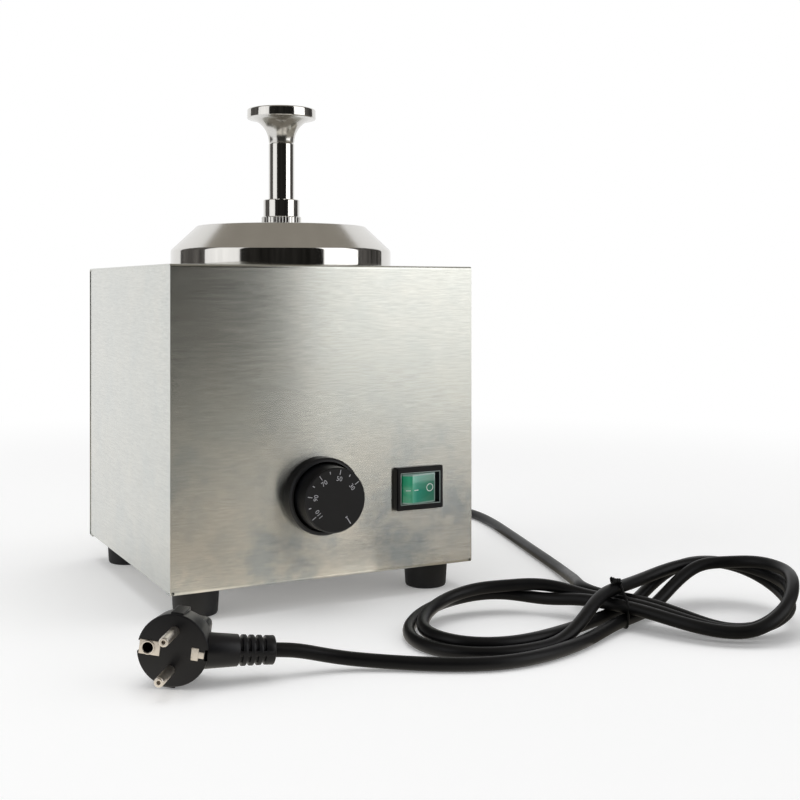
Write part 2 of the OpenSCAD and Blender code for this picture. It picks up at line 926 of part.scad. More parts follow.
// Outer tube of the pump with the shoulder that clamps under the lid
module pump_tube() {
    color("silver")
        on_axis()
            difference() {
                rotate_extrude()
                    polygon([
                        [tube_bore_r, head_z], [tube_r, head_z], [tube_r, lid_top_z - 2.65],
                        [16, lid_top_z - 2.65], [16, lid_top_z - 1.05], [tube_r, lid_top_z - 1.05],
                        [tube_r, collar_z - 0.5], [tube_r - 0.5, collar_z], [tube_bore_r, collar_z]
                    ]);
                rotate([0, 0, spout_angle])
                    translate([0, 0, spout_z])
                        rotate([0, 90, 0])
                            cylinder(r = 4.5, h = 20);
            }
}

// Bush that guides the stem at the top of the tube
module top_bush() {
    color("whitesmoke")
        on_axis()
            translate([0, 0, collar_z - 2])
                difference() {
                    cylinder(r = tube_bore_r, h = 2);
                    translate([0, 0, -1])
                        cylinder(r = stem_r + 0.05, h = 4);
                }
}

// Knurled nut that clamps the pump to the lid
module lock_nut() {
    color("silver")
        on_axis()
            difference() {
                rotate_extrude()
                    polygon([
                        [tube_r, lid_top_z + 0.05], [12.9, lid_top_z + 0.05], [13.25, lid_top_z + 0.5],
                        [13.25, lid_top_z + 6], [12.9, lid_top_z + 6.6], [tube_r, lid_top_z + 6.6]
                    ]);
                for (i = [0 : nut_serrations - 1])
                    rotate([0, 0, i * 360 / nut_serrations])
                        translate([13.45, 0, lid_top_z - 1])
                            cylinder(r = 0.55, h = 10, $fn = 16);
            }
}

// Discharge spout to the rear, bent down at its tip
module spout() {
    color("silver")
        on_axis()
            rotate([0, 0, spout_angle])
                difference() {
                    union() {
                        translate([11, 0, spout_z])
                            rotate([0, 90, 0])
                                cylinder(r = 4.5, h = spout_reach - 27);
                        translate([spout_reach - 16, 0, spout_z - 12])
                            rotate([90, 0, 0])
                                rotate_extrude(angle = 90)
                                    translate([12, 0])
                                        circle(4.5);
                        translate([spout_reach - 4, 0, 213])
                            cylinder(r = 4.5, h = spout_z - 12 - 213);
                    }
                    translate([0, 0, spout_z])
                        rotate([0, 90, 0])
                            cylinder(r = 3.5, h = spout_reach - 16);
                    translate([spout_reach - 16, 0, spout_z - 12])
                        rotate([90, 0, 0])
                            rotate_extrude(angle = 90)
                                translate([12, 0])
                                    circle(3.5);
                    translate([spout_reach - 4, 0, 210])
                        cylinder(r = 3.5, h = spout_z - 12 - 210);
                }
}

// Cylinder in which the piston works, with its closed head
module pump_cylinder() {
    color("silver")
        on_axis()
            rotate_extrude()
                polygon([
                    [bore_r, cylinder_z], [cylinder_r, cylinder_z], [cylinder_r, head_z + 3],
                    [tube_r, head_z + 3], [tube_r, head_z], [bore_r, head_z]
                ]);
}

// Seat and cage of the foot valve, plugged into the cylinder
module foot_valve_body() {
    color("whitesmoke")
        on_axis()
            difference() {
                rotate_extrude()
                    polygon([
                        [4.5, valve_z], [13, valve_z], [cylinder_r, valve_z + 2], [cylinder_r, cylinder_z],
                        [bore_r, cylinder_z], [bore_r, 118], [9.2, 118], [9.2, 124], [7.6, 124],
                        [7.6, 108], [4.5, 108]
                    ]);
                translate([0, 0, 122])
                    rotate([90, 0, 0])
                        cylinder(r = 1, h = 30, center = true, $fn = 24);
            }
}

// Pin across the cage that keeps the foot ball in
module foot_valve_pin() {
    color("silver")
        on_axis()
            translate([0, 0, 122])
                rotate([90, 0, 0])
                    cylinder(r = 1, h = 18.4, center = true, $fn = 24);
}

// Ball of the foot valve
module foot_ball() {
    color("gainsboro")
        on_axis()
            translate([0, 0, 112.02])
                sphere(r = 6);
}

// Hollow piston with ports above its ball
module piston() {
    color("whitesmoke")
        on_axis()
            difference() {
                rotate_extrude()
                    polygon([
                        [3, piston_z], [bore_r - 0.05, piston_z], [bore_r - 0.05, 167], [12, 167], [12, 170],
                        [bore_r - 0.05, 170], [bore_r - 0.05, 177], [0, 177], [0, 175], [7, 175],
                        [7, 166], [3, 166]
                    ]);
                for (a = [0 : 60 : 300])
                    rotate([0, 0, a])
                        translate([5.6, 0, 174])
                            cylinder(r = 1.2, h = 4, $fn = 24);
            }
}

// Seal in the groove of the piston
module piston_seal() {
    color([0.15, 0.15, 0.15])
        on_axis()
            rotate_extrude()
                translate([12, 167])
                    square([bore_r - 0.02 - 12, 3]);
}

// Ball of the transfer valve inside the piston
module transfer_ball() {
    color("gainsboro")
        on_axis()
            translate([0, 0, 168.72])
                sphere(r = 4);
}

// Rod between the piston and the stem
module pump_rod() {
    color("silver")
        on_axis()
            translate([0, 0, 177])
                cylinder(r = 4, h = 53);
}

// Polished stem seen above the lid
module pump_stem() {
    color("silver")
        on_axis()
            translate([0, 0, 230])
                rotate_extrude()
                    polygon([
                        [0, 0], [stem_r - 1, 0], [stem_r, 1], [stem_r, flare_z - 230.6],
                        [stem_r - 0.3, flare_z - 230], [0, flare_z - 230]
                    ]);
}

// Flared push knob
module pump_knob() {
    color("silver")
        on_axis()
            rotate_extrude($fn = 96)
                polygon(concat(
                    [[0, flare_z], [stem_r - 0.3, flare_z]],
                    [
                        for (t = [4 : 6 : 88])
                            [knob_r - 0.3 - (knob_r - 0.3 - stem_r) * cos(t), flare_z + 0.2 + 16 * sin(t)]
                    ],
                    [
                        [knob_r - 0.1, knob_top_z - 6.1], [knob_r, knob_top_z - 5.3], [knob_r, knob_top_z - 1.2],
                        [knob_r - 0.4, knob_top_z - 0.35], [knob_r - 1.3, knob_top_z], [0, knob_top_z]
                    ]
                ));
}

// Spring that lifts the plunger, squashed as the piston comes down
module return_spring() {
    turns = 5;
    color("gainsboro")
        on_axis()
            tube([
                for (i = [0 : 24 * turns])
                    [10.4 * cos(i * 15), 10.4 * sin(i * 15), 118.9 + i * (piston_z - 118 - 1.8) / (24 * turns)]
            ], 0.75, 6);
}

outer_wrap();
side_panel_left();
side_panel_right();
base_plate();
base_screws();
feet();
foot_screws();
heated_well();
heater_plate();
heater_element();
thermal_cutout();
terminal_block();
earth_stud();
thermostat_body();
thermostat_bracket();
capillary_tube();
sensor_bulb();
thermostat_ring();
thermostat_knob();
thermostat_shaft();
switch_housing();
switch_rocker();
switch_terminals();
cord_gland();
power_cord();
cord_hank();
cord_lead();
twist_tie();
plug_body();
plug_pins();
plug_earth();
pot();
lid();
lid_ring();
pump_tube();
top_bush();
lock_nut();
spout();
pump_cylinder();
foot_valve_body();
foot_valve_pin();
foot_ball();
piston();
piston_seal();
transfer_ball();
pump_rod();
pump_stem();
pump_knob();
return_spring();
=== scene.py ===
import math

import bpy
from mathutils import Matrix, Vector


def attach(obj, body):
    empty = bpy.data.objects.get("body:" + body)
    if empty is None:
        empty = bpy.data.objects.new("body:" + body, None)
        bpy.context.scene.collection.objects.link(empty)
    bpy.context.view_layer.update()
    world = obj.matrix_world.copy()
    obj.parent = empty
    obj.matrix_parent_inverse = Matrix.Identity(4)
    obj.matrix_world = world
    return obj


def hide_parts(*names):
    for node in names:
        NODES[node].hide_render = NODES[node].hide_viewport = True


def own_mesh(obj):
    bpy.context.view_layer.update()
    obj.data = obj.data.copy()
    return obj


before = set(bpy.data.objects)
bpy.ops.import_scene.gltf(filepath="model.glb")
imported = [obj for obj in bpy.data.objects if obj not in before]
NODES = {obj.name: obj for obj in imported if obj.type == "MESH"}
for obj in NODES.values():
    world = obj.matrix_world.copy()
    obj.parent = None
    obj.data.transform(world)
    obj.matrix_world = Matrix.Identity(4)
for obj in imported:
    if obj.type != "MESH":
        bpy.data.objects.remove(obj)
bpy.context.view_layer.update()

bl_info = {
    "name": "Topping warmer",
    "version": (1, 0, 0),
    "blender": (4, 5, 0),
    "location": "3D view > Sidebar > Warmer",
    "description": "Dresses the packed topping warmer with its finishes, cord, marks and studio",
    "category": "Object",
}

MM = 0.001

# Places shared by the pieces, in millimetres; turns in degrees, but ROCKER_TILT in radians
PUMP_AXIS = (0.0, -20.0)
DIAL_CENTRE = (-7.0, 68.6)
DIAL_FACE_Y = -124.0
SWITCH_CENTRE = (60.2, 68.2)
PANEL_Y = -100.0
BEZEL_FACE_Y = -104.56
ROCKER_TILT = math.radians(12)
PLUG_AT = (-131.0, -208.0, 19.0)
PLUG_TURN = -32.6
HANK_CENTRE = (132.1, -211.4)
TIE_TURN = 74.0
TIE_SHIFT = 2.0

# Camera of the photograph: metres, degrees, millimetres of lens, share of the picture
CAMERA_AT = (-0.30166, -0.77995, 0.19284)
CAMERA_TURN = -27.21
CAMERA_LENS = 54.78
CAMERA_SHIFT = -0.1375
# Azimuth of the camera seen from the object
CAMERA_AZIMUTH = -111.1
# The floor's own glow and the world's light, as shares of white
FLOOR_GLOW = 0.17
FILL = 0.45


def mm(*values):
    """Millimetres as a Blender vector in metres."""
    return Vector(values) * MM


def linear(code):
    """Linear colour of an sRGB hex value."""
    channels = [int(code[i : i + 2], 16) / 255 for i in (1, 3, 5)]
    return tuple(
        c / 12.92 if c <= 0.04045 else ((c + 0.055) / 1.055) ** 2.4 for c in channels
    ) + (1.0,)


# Materials ---------------------------------------------------------------


def add(tree, kind, links=None, **settings):
    """A node of a kind, with its settings, its socket values and its links."""
    made = tree.nodes.new(kind)
    for key, value in settings.items():
        setattr(made, key, value)
    for key, value in (links or {}).items():
        socket = made.inputs[key]
        if isinstance(value, bpy.types.NodeSocket):
            tree.links.new(value, socket)
        else:
            socket.default_value = value
    return made


def new_material(name):
    """An empty material, its node tree and its place in the object's own coordinates."""
    made = bpy.data.materials.new(name)
    made.use_nodes = True
    made.node_tree.nodes.clear()
    tree = made.node_tree
    place = add(tree, "ShaderNodeTexCoord").outputs["Object"]
    return made, tree, place


def close_material(tree, shader):
    add(tree, "ShaderNodeOutputMaterial", {"Surface": shader.outputs[0]})


def ramp(tree, factor, stops):
    """Colours or grey levels along a factor."""
    made = add(tree, "ShaderNodeValToRGB", {"Fac": factor})
    band = made.color_ramp
    while len(band.elements) < len(stops):
        band.elements.new(0.5)
    for element, (at, colour) in zip(band.elements, stops):
        element.position = at
        element.color = linear(colour) if isinstance(colour, str) else (colour, colour, colour, 1)
    return made.outputs["Color"]


def scaled(tree, place, scale, turn=(0, 0, 0), shift=(0, 0, 0)):
    links = {"Vector": place, "Scale": scale, "Rotation": turn, "Location": shift}
    return add(tree, "ShaderNodeMapping", links).outputs["Vector"]


def noise(tree, place, size_mm, detail=3.0, rough=0.5):
    """Noise whose blotches are about size_mm across."""
    links = {"Vector": place, "Scale": 1000 / size_mm, "Detail": detail, "Roughness": rough}
    return add(tree, "ShaderNodeTexNoise", links).outputs["Fac"]


def map_range(tree, value, start, end, low=0.0, high=1.0, **settings):
    """A value carried from one range to another."""
    links = {"Value": value, "From Min": start, "From Max": end, "To Min": low, "To Max": high}
    return add(tree, "ShaderNodeMapRange", links, **settings).outputs["Result"]


def drift(tree, cloud, low, high):
    """A value that wanders between two ends with a noise."""
    return map_range(tree, cloud, 0.3, 0.7, low, high)


def calculate(tree, operation, *values):
    return add(tree, "ShaderNodeMath", dict(enumerate(values)), operation=operation).outputs[0]


def mixed(tree, factor, first, second, blend="MIX"):
    """Two colours mixed by a factor."""
    links = {0: factor, 6: first, 7: second}
    return add(tree, "ShaderNodeMix", links, data_type="RGBA", blend_type=blend).outputs[2]


def bump(tree, height, strength, deep_mm):
    links = {"Height": height, "Strength": strength, "Distance": deep_mm * MM}
    return add(tree, "ShaderNodeBump", links).outputs["Normal"]


def height_of(tree, place):
    return add(tree, "ShaderNodeSeparateXYZ", {"Vector": place}).outputs["Z"]


def brushed_sheet(name, along):
    """Cold-rolled stainless sheet, belt brushed: level scratches draw the light upward."""
    made, tree, place = new_material(name)
    # scratches about 10 mm long and 0.8 mm apart, coarser than the real grit to show
    fine, slow = 1 / 0.8, 1 / 10
    level = (slow, fine, fine) if along == "X" else (fine, slow, fine)
    grain = noise(tree, scaled(tree, place, level), 1, 4, 0.7)
    bands = noise(tree, scaled(tree, place, tuple(v * 0.45 for v in level)), 1, 3, 0.55)
    # handling and pickling leave soft clouds 30 mm wide
    cloud = noise(tree, place, 30, 4, 0.62)
    plain_tone = ramp(tree, cloud, [(0.3, "#CCCEC9"), (0.7, "#D3D3CC")])
    # the lowest part takes cooler and warmer blotches, full below 40 mm and gone above 120 mm
    bottom_blotches = ramp(tree, cloud, [(0.36, "#B6BAB9"), (0.5, "#CECCC4"), (0.66, "#DAD5CA")])
    share = 1.0 if along == "X" else 0.1
    low = map_range(tree, height_of(tree, place), 0.12, 0.04, 0.0, share)
    streak = ramp(tree, grain, [(0.36, 0.84), (0.64, 1.0)])
    colour = mixed(tree, 0.8, mixed(tree, low, plain_tone, bottom_blotches), streak, "MULTIPLY")
    tangent = add(tree, "ShaderNodeTangent", direction_type="RADIAL", axis="Z")
    links = {
        "Base Color": colour,
        "Metallic": 1.0,
        "Roughness": drift(tree, bands, 0.225, 0.255),
        "Anisotropic": 0.92,
        "Anisotropic Rotation": 0.25,
        "Normal": bump(tree, grain, 0.06, 0.04),
        "Tangent": tangent.outputs["Tangent"],
    }
    close_material(tree, add(tree, "ShaderNodeBsdfPrincipled", links))
    return made


def satin_band(tree, place, rough, low, high):
    """Adds to a roughness between two heights in mm, where the turned skin is left satin."""
    height = height_of(tree, place)
    rise = map_range(tree, height, low * MM, (low + 1) * MM, 0.0, 0.13)
    fall = map_range(tree, height, (high - 1) * MM, high * MM, 1.0, 0.0)
    return calculate(tree, "MULTIPLY_ADD", rise, fall, rough)


def metal(name, light, dark, rough, size_mm, bump_mm=0.0, spread=0.06, satin=()):
    """Metal whose clouds are size_mm wide, with a roughness that drifts by spread."""
    made, tree, place = new_material(name)
    cloud = noise(tree, place, size_mm, 4, 0.6)
    dull = drift(tree, cloud, max(rough - spread, 0.02), rough + spread)
    for low, high in satin:
        dull = satin_band(tree, place, dull, low, high)
    links = {
        "Base Color": ramp(tree, cloud, [(0.3, dark), (0.7, light)]),
        "Metallic": 1.0,
        "Roughness": dull,
    }
    if bump_mm:
        links["Normal"] = bump(tree, cloud, 0.3, bump_mm)
    close_material(tree, add(tree, "ShaderNodeBsdfPrincipled", links))
    return made


def plastic(name, light, dark, rough, size_mm, bump_mm, ior=1.5):
    """Moulded plastic or rubber with a fine spark-eroded grain size_mm across."""
    made, tree, place = new_material(name)
    grain = noise(tree, place, size_mm, 3, 0.6)
    cloud = noise(tree, place, 25, 3, 0.5)
    links = {
        "Base Color": ramp(tree, cloud, [(0.3, dark), (0.7, light)]),
        "Roughness": drift(tree, cloud, rough - 0.05, rough + 0.05),
        "IOR": ior,
        "Normal": bump(tree, grain, 0.35, bump_mm),
    }
    close_material(tree, add(tree, "ShaderNodeBsdfPrincipled", links))
    return made


def lens_material():
    """Clear green polycarbonate over a lamp: pale where it is thin, at its rim and its ridge."""
    made, tree, place = new_material("moulded_green_polycarbonate")
    shift = (-SWITCH_CENTRE[0] * MM, 0.1, -SWITCH_CENTRE[1] * MM)
    centred = scaled(tree, place, (1, 1, 1), shift=shift)
    level = scaled(tree, centred, (1, 1, 1), turn=(0, 0, -ROCKER_TILT))
    parts = add(tree, "ShaderNodeSeparateXYZ", {"Vector": level})
    # across the 26 mm length: pressed end, ridge 9 mm from the middle, then the long face
    green = ramp(
        tree,
        map_range(tree, parts.outputs["X"], -0.0132, 0.0132),
        [
            (0.0, "#1F8A62"), (0.1, "#3AA37C"), (0.148, "#2F9670"), (0.156, "#5FB296"),
            (0.3, "#35917A"), (0.62, "#2A7C62"), (1.0, "#245F4E"),
        ],
    )
    # a clear rim along both sides and at the far end
    height = calculate(tree, "ABSOLUTE", parts.outputs["Z"])
    sides = map_range(tree, height, 0.0080, 0.0086)
    end = map_range(tree, parts.outputs["X"], 0.0082, 0.0088)
    shade = mixed(tree, calculate(tree, "MAXIMUM", sides, end), green, linear("#7F9C92"))
    links = {
        "Base Color": shade,
        "Roughness": 0.16,
        "IOR": 1.585,
        "Emission Color": shade,
        "Emission Strength": 0.12,
        "Coat Weight": 0.4,
        "Coat Roughness": 0.08,
    }
    close_material(tree, add(tree, "ShaderNodeBsdfPrincipled", links))
    return made


def build_materials():
    """Every finish, by the record's slot name."""
    return {
        # level brushing on the wrap and the base
        "sheet_steel": brushed_sheet("belt_brushed_stainless_sheet_level", "X"),
        # the side sheets are brushed from front to rear
        "side_steel": brushed_sheet("belt_brushed_stainless_sheet_side", "Y"),
        # mirror polish: sharp dark and white bands, softer on the lid's cone and the knob's flare
        "polished_steel": metal(
            "mirror_polished_stainless", "#D6D4D0", "#D0CECA", 0.075, 40, spread=0.015,
            satin=((218.4, 237), (290.4, 308)),
        ),
        # deep drawing leaves a dull satin wall
        "drawn_steel": metal("deep_drawn_stainless", "#C9C7C2", "#B7B5B0", 0.26, 14),
        # zinc plating is bluish and slightly patchy
        "zinc_steel": metal("zinc_plated_steel", "#C4C8CC", "#A9AEB4", 0.32, 3),
        # cast aluminium is pale with a sandy skin
        "aluminium": metal("sand_cast_aluminium", "#C9CACB", "#AEB0B2", 0.5, 1.2, 0.08),
        # a fired heater sheath is dull grey brown
        "element": metal("oxidised_incoloy_sheath", "#6E665E", "#4C453F", 0.5, 5),
        # satin spark-eroded ABS, nearly black
        "black_plastic": plastic(
            "moulded_black_abs", "#0F0F13", "#0A0A0D", 0.36, 0.45, 0.015, ior=1.4
        ),
        # matt rubber with a soft bloom
        "black_rubber": plastic(
            "moulded_black_rubber", "#0F0F11", "#0A0A0B", 0.6, 0.8, 0.04, ior=1.45
        ),
        # extruded soft PVC is smoother and catches a long highlight
        "cord_pvc": plastic("extruded_black_pvc", "#0E0E10", "#09090A", 0.42, 1.4, 0.03, ior=1.3),
        # white acetal is waxy and slightly warm
        "white_plastic": plastic("machined_white_acetal", "#ECEAE4", "#E2DFD8", 0.4, 1.5, 0.01),
        # the lit lens glows green, paler at its ridge and rim
        "green_lens": lens_material(),
        # glazed steatite is cream and glossy
        "ceramic": plastic("glazed_steatite", "#EFE9DB", "#E4DCCB", 0.25, 4, 0.02, ior=1.6),
        # turned brass is bright yellow
        "brass": metal("turned_brass", "#D6B36A", "#C29E57", 0.25, 3),
        # drawn copper has a dull reddish skin
        "copper": metal("drawn_copper", "#C98A63", "#B57550", 0.3, 4),
        # nickel plating on the plug is warm and a little worn
        "plug_nickel": metal("nickel_plated_brass", "#E4DED6", "#D4CCC2", 0.36, 2),
        # printed marks are an off-white matt ink
        "mark_ink": plastic("pad_printed_white_ink", "#BDBDC1", "#A6A6AA", 0.6, 0.5, 0.005),
        # thin pale bars on the bezel's face, their colour a painted highlight of the bezel's inner
        # edge
        "lip_highlight": plastic(
            "pale_lip_painted_highlight", "#A3B2AC", "#94A49D", 0.2, 1.0, 0.003, ior=1.58
        ),
        # the switch marks are moulded through and slightly green
        "lens_ink": plastic("pale_moulded_mark", "#E6F2EC", "#D6E6DE", 0.35, 0.5, 0.005),
    }


# Modelling ---------------------------------------------------------------


def clear_selection():
    if bpy.context.object and bpy.context.object.mode != "OBJECT":
        bpy.ops.object.mode_set(mode="OBJECT")
    bpy.ops.object.select_all(action="DESELECT")


def take(piece):
    clear_selection()
    piece.select_set(True)
    bpy.context.view_layer.objects.active = piece
    return piece


def settle(piece, name, body, slot, angle=35.0, finish=None):
    """Puts a finished piece's place in its mesh, and gives it its finish and its body."""
    take(piece)
    bpy.ops.object.transform_apply(location=True, rotation=True, scale=True)
    piece.name = name
    piece.data.name = name
    piece.data.materials.clear()
    piece.data.materials.append(finish_of(finish or slot))
    bpy.ops.object.shade_smooth_by_angle(angle=math.radians(angle))
    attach(piece, body)
    return piece


def finish_of(slot):
    return bpy.data.materials[bpy.context.scene["warmer_materials"][slot]]


def merged_copy(node):
    """A copy of a CAD node's mesh with its loose triangles joined."""
    take(NODES[node])
    bpy.ops.object.duplicate()
    piece = bpy.context.object
    piece.parent = None
    piece.matrix_world = Matrix.Identity(4)
    take(piece)
    edit_all()
    bpy.ops.mesh.remove_doubles(threshold=0.00001)
    bpy.ops.mesh.customdata_custom_splitnormals_clear()
    bpy.ops.mesh.tris_convert_to_quads()
    bpy.ops.mesh.dissolve_limited(angle_limit=math.radians(0.5))
    bpy.ops.object.mode_set(mode="OBJECT")
    return piece


def edit_all():
    """Edit mode with the whole mesh selected."""
    bpy.ops.object.mode_set(mode="EDIT")
    bpy.ops.mesh.select_all(action="SELECT")


def soften_edges(piece, width, angle):
    """Breaks the edges sharper than an angle in degrees."""
    take(piece)
    soften = piece.modifiers.new("edges", "BEVEL")
    soften.width = width
    soften.segments = 3
    soften.limit_method = "ANGLE"
    soften.angle_limit = math.radians(angle)
    bpy.ops.object.modifier_apply(modifier=soften.name)


def wire_curve(name, points, radius, cyclic=False, sides=6):
    """Round curve of a given radius through points in millimetres."""
    data = bpy.data.curves.new(name, "CURVE")
    data.dimensions = "3D"
    data.bevel_depth = radius * MM
    data.bevel_resolution = sides
    data.use_fill_caps = not cyclic
    line = data.splines.new("POLY")
    line.points.add(len(points) - 1)
    for item, p in zip(line.points, points):
        item.co = (p[0] * MM, p[1] * MM, p[2] * MM, 1)
    line.use_cyclic_u = cyclic
    line.use_smooth = True
    piece = bpy.data.objects.new(name, data)
    bpy.context.scene.collection.objects.link(piece)
    return piece


def curve_to_mesh(piece):
    take(piece)
    bpy.ops.object.convert(target="MESH")
    return bpy.context.object


def rounded_profile(corners, steps=6):
    """Corners as (radius, height, rounding), each rounded by an arc."""
    out = []
    for i, (r, z, round_off) in enumerate(corners):
        here = Vector((r, z))
        if not round_off or i in (0, len(corners) - 1):
            out.append((r, z))
            continue
        back = (Vector(corners[i - 1][:2]) - here).normalized()
        ahead = (Vector(corners[i + 1][:2]) - here).normalized()
        half = back.angle(ahead) / 2
        centre = here + (back + ahead).normalized() * (round_off / math.sin(half))
        first = here + back * (round_off / math.tan(half)) - centre
        last = here + ahead * (round_off / math.tan(half)) - centre
        whole = first.angle_signed(last)
        for k in range(steps + 1):
            turned = first.copy()
            turned.rotate(Matrix.Rotation(-whole * k / steps, 2))
            out.append((centre.x + turned.x, centre.y + turned.y))
    return out


def spun(name, profile, steps=128):
    """Solid turned round the upright axis from a closed (radius, height) profile."""
    clear_selection()
    r, z = profile[0]
    bpy.ops.mesh.primitive_plane_add(size=0.001, location=mm(r, 0, z))
    piece = bpy.context.object
    piece.name = name
    bpy.ops.object.transform_apply(location=True, rotation=True, scale=True)
    bpy.ops.object.mode_set(mode="EDIT")
    bpy.ops.mesh.select_mode(type="VERT")
    bpy.ops.mesh.select_all(action="SELECT")
    bpy.ops.mesh.merge(type="CENTER")
    for (r0, z0), (r1, z1) in zip(profile, profile[1:] + profile[:1]):
        step = mm(r1 - r0, 0, z1 - z0)
        bpy.ops.mesh.extrude_region_move(TRANSFORM_OT_translate={"value": step})
    bpy.ops.mesh.select_all(action="SELECT")
    bpy.ops.mesh.remove_doubles(threshold=0.000002)
    bpy.ops.mesh.select_all(action="SELECT")
    bpy.ops.mesh.spin(steps=steps, angle=2 * math.pi, center=(0, 0, 0), axis=(0, 0, 1))
    bpy.ops.mesh.select_all(action="SELECT")
    bpy.ops.mesh.remove_doubles(threshold=0.000005)
    bpy.ops.mesh.select_all(action="SELECT")
    bpy.ops.mesh.normals_make_consistent(inside=False)
    bpy.ops.object.mode_set(mode="OBJECT")
    return piece


def block(name, size, centre, soft=0.0):
    """Box of a size round a centre in millimetres, its edges softened."""
    clear_selection()
    bpy.ops.mesh.primitive_cube_add(size=1, location=(0, 0, 0))
    piece = bpy.context.object
    piece.name = name
    piece.scale = mm(*size)
    bpy.ops.object.transform_apply(location=False, rotation=False, scale=True)
    if soft:
        edit_all()
        bpy.ops.mesh.bevel(offset=soft * MM, segments=4, affect="EDGES", clamp_overlap=True)
        bpy.ops.object.mode_set(mode="OBJECT")
    piece.data.transform(Matrix.Translation(mm(*centre)))
    return piece


def joined(parts):
    """Joins pieces into the first one."""
    clear_selection()
    for part in parts:
        part.select_set(True)
    bpy.context.view_layer.objects.active = parts[0]
    if len(parts) > 1:
        bpy.ops.object.join()
    return bpy.context.object


# Cord route, as in the CAD source but eased where the free cord meets the hank; mm --


def mix(a, b, w):
    return a + (b - a) * w


def ease(x):
    c = min(1.0, max(0.0, x))
    return c * c * (3 - 2 * c)


# Start in the gland, then the listed points of the free cord and of the plug's lead
CORD_START = Vector((62, 124, 40))
CORD_POINTS = [
    (62, 142, 40), (64, 160, 36), (76, 180, 25), (98, 194, 13), (128, 198, 6), (162, 190, 3.8),
    (195, 168, 3.8), (216, 138, 3.8), (223, 105, 3.8), (217, 65, 3.8), (205, 20, 3.8),
    (190, -33, 3.8), (173, -93, 3.8), (167, -109, 4.4), (160, -124, 6), (152.7, -138, 8.3),
    (144.8, -151.5, 11), (136.5, -165, 13.4), (130.4, -178.5, 14),
]
LEAD_POINTS = [
    (106, -233, 4.5), (90, -241, 3.9), (72, -248.5, 3.8), (48, -254.5, 3.8), (24, -254, 3.8),
    (0, -244, 3.8), (-22, -230, 4.2), (-46, -218, 6.6),
]
# End of the plug's sleeve and the cord's direction there
RELIEF_END = Vector((-78, -212.5, 13.5))
RELIEF_DIR = Vector((1, -0.14, -0.09)).normalized()
# Hank, left and right lobe: lengths, half widths, tilts and skews, and how full they are
LOBE = (122.9, 99.9)
HALF = (54.0, 51.4)
TILT = (-8.3, -27.0)
SKEW = (0.1, 0.15)
FULLNESS = 0.6
# Angle of the first and last stretch of a loop, beside the waist, on the right and the left
SIDE_ANGLE = (50.0, 45.0)
# Strand spacing at the waist and at the sides, and the lowest and highest strand
STEP = 7.8
WIDE = 8.5
LOW_Z = 5.1
HIGH_Z = 20.7
# Turn of the row of strands, height of its middle and its shift to the side, by station
RIGHT_TWIST = (0, 10, 90, 170)
RIGHT_LEVEL = (12.9, 6, 20, 26)
LEFT_TWIST = (0, 17, 25, 40, 180)
LEFT_LEVEL = (0, 4.9, 5.5, 14, 12.9)
LEFT_SHIFT = (0, 0.5, 0, 0, 3.9)


def right_offset(m, k, u):
    """Shift and height of right strand m between stations k and k + 1."""
    w = ease((u - 0.08) / 0.92) if k == 0 else ease(u)
    v = ease((u - 0.1) / 0.75)
    if k < 3:
        t = math.radians(mix(RIGHT_TWIST[k], RIGHT_TWIST[k + 1], w))
        z = mix(RIGHT_LEVEL[k], RIGHT_LEVEL[k + 1], w)
        g = mix(STEP, WIDE, w) if k == 0 else WIDE
        return m * g * math.cos(t), z + m * g * math.sin(t)
    t = math.radians(RIGHT_TWIST[3])
    return (
        mix(m * WIDE * math.cos(t), -9.0 if m > 0 else -m * 4.1, v * v),
        mix(RIGHT_LEVEL[3] + m * WIDE * math.sin(t), HIGH_Z if m == 0 else LOW_Z, v),
    )


def left_offset(s, k, u):
    """Shift and height of left strand s between stations k and k + 1."""
    w = ease(u)
    v = ease((u - 0.15) / 0.75)
    q = ease(u / 0.8) if k == 3 else w
    if k == 0:
        t = math.radians(LEFT_TWIST[1])
        return (
            mix(4.1 if s > 0 else 0.0, LEFT_SHIFT[1] + s * WIDE * math.cos(t), 1 - (1 - v) ** 2),
            mix(LOW_Z if s > 0 else HIGH_Z, LEFT_LEVEL[1] + s * WIDE * math.sin(t), v),
        )
    t = math.radians(mix(LEFT_TWIST[k], LEFT_TWIST[k + 1], q))
    g = mix(WIDE, STEP, w) if k == 3 else WIDE
    return (
        mix(LEFT_SHIFT[k], LEFT_SHIFT[k + 1], w) + s * g * math.cos(t),
        mix(LEFT_LEVEL[k], LEFT_LEVEL[k + 1], w) + s * g * math.sin(t),
    )


def station(p, side):
    """Place between the five stations of a loop, at an angle of 0 to 180 degrees."""
    if p < side:
        return p / side
    if p < 180 - side:
        return 2 + (p - 90) / (90 - side)
    return 4 - (180 - p) / side


def strand_offset(phi):
    """Shift and height of the strand at an angle along the whole hank."""
    i = min(int(phi // 180), 4)
    t = station(phi - i * 180, SIDE_ANGLE[i % 2])
    k = min(int(t), 3)
    if i % 2 == 0:
        return right_offset(i // 2 - 1, k, t - k)
    return left_offset(0.5 if i == 1 else -0.5, k, t - k)


def hank_plan(phi):
    """Middle line of the hank, seen from above."""
    s, c = math.sin(math.radians(phi)), math.cos(math.radians(phi))
    w = (1 + s) / 2
    t = math.radians(mix(*TILT, w))
    g = 1 + FULLNESS * c * c
    q = -2 * mix(*HALF, w) * s * c / g
    x = mix(*LOBE, w) * s / g + mix(*SKEW, w) * q
    return Vector((
        HANK_CENTRE[0] + x * math.cos(t) - q * math.sin(t),
        HANK_CENTRE[1] + x * math.sin(t) + q * math.cos(t),
    ))


def hank_point(phi):
    t = (hank_plan(phi + 0.06) - hank_plan(phi - 0.06)).normalized()
    shift, z = strand_offset(phi)
    c = hank_plan(phi)
    return Vector((c.x + shift * t.y, c.y - shift * t.x, z))


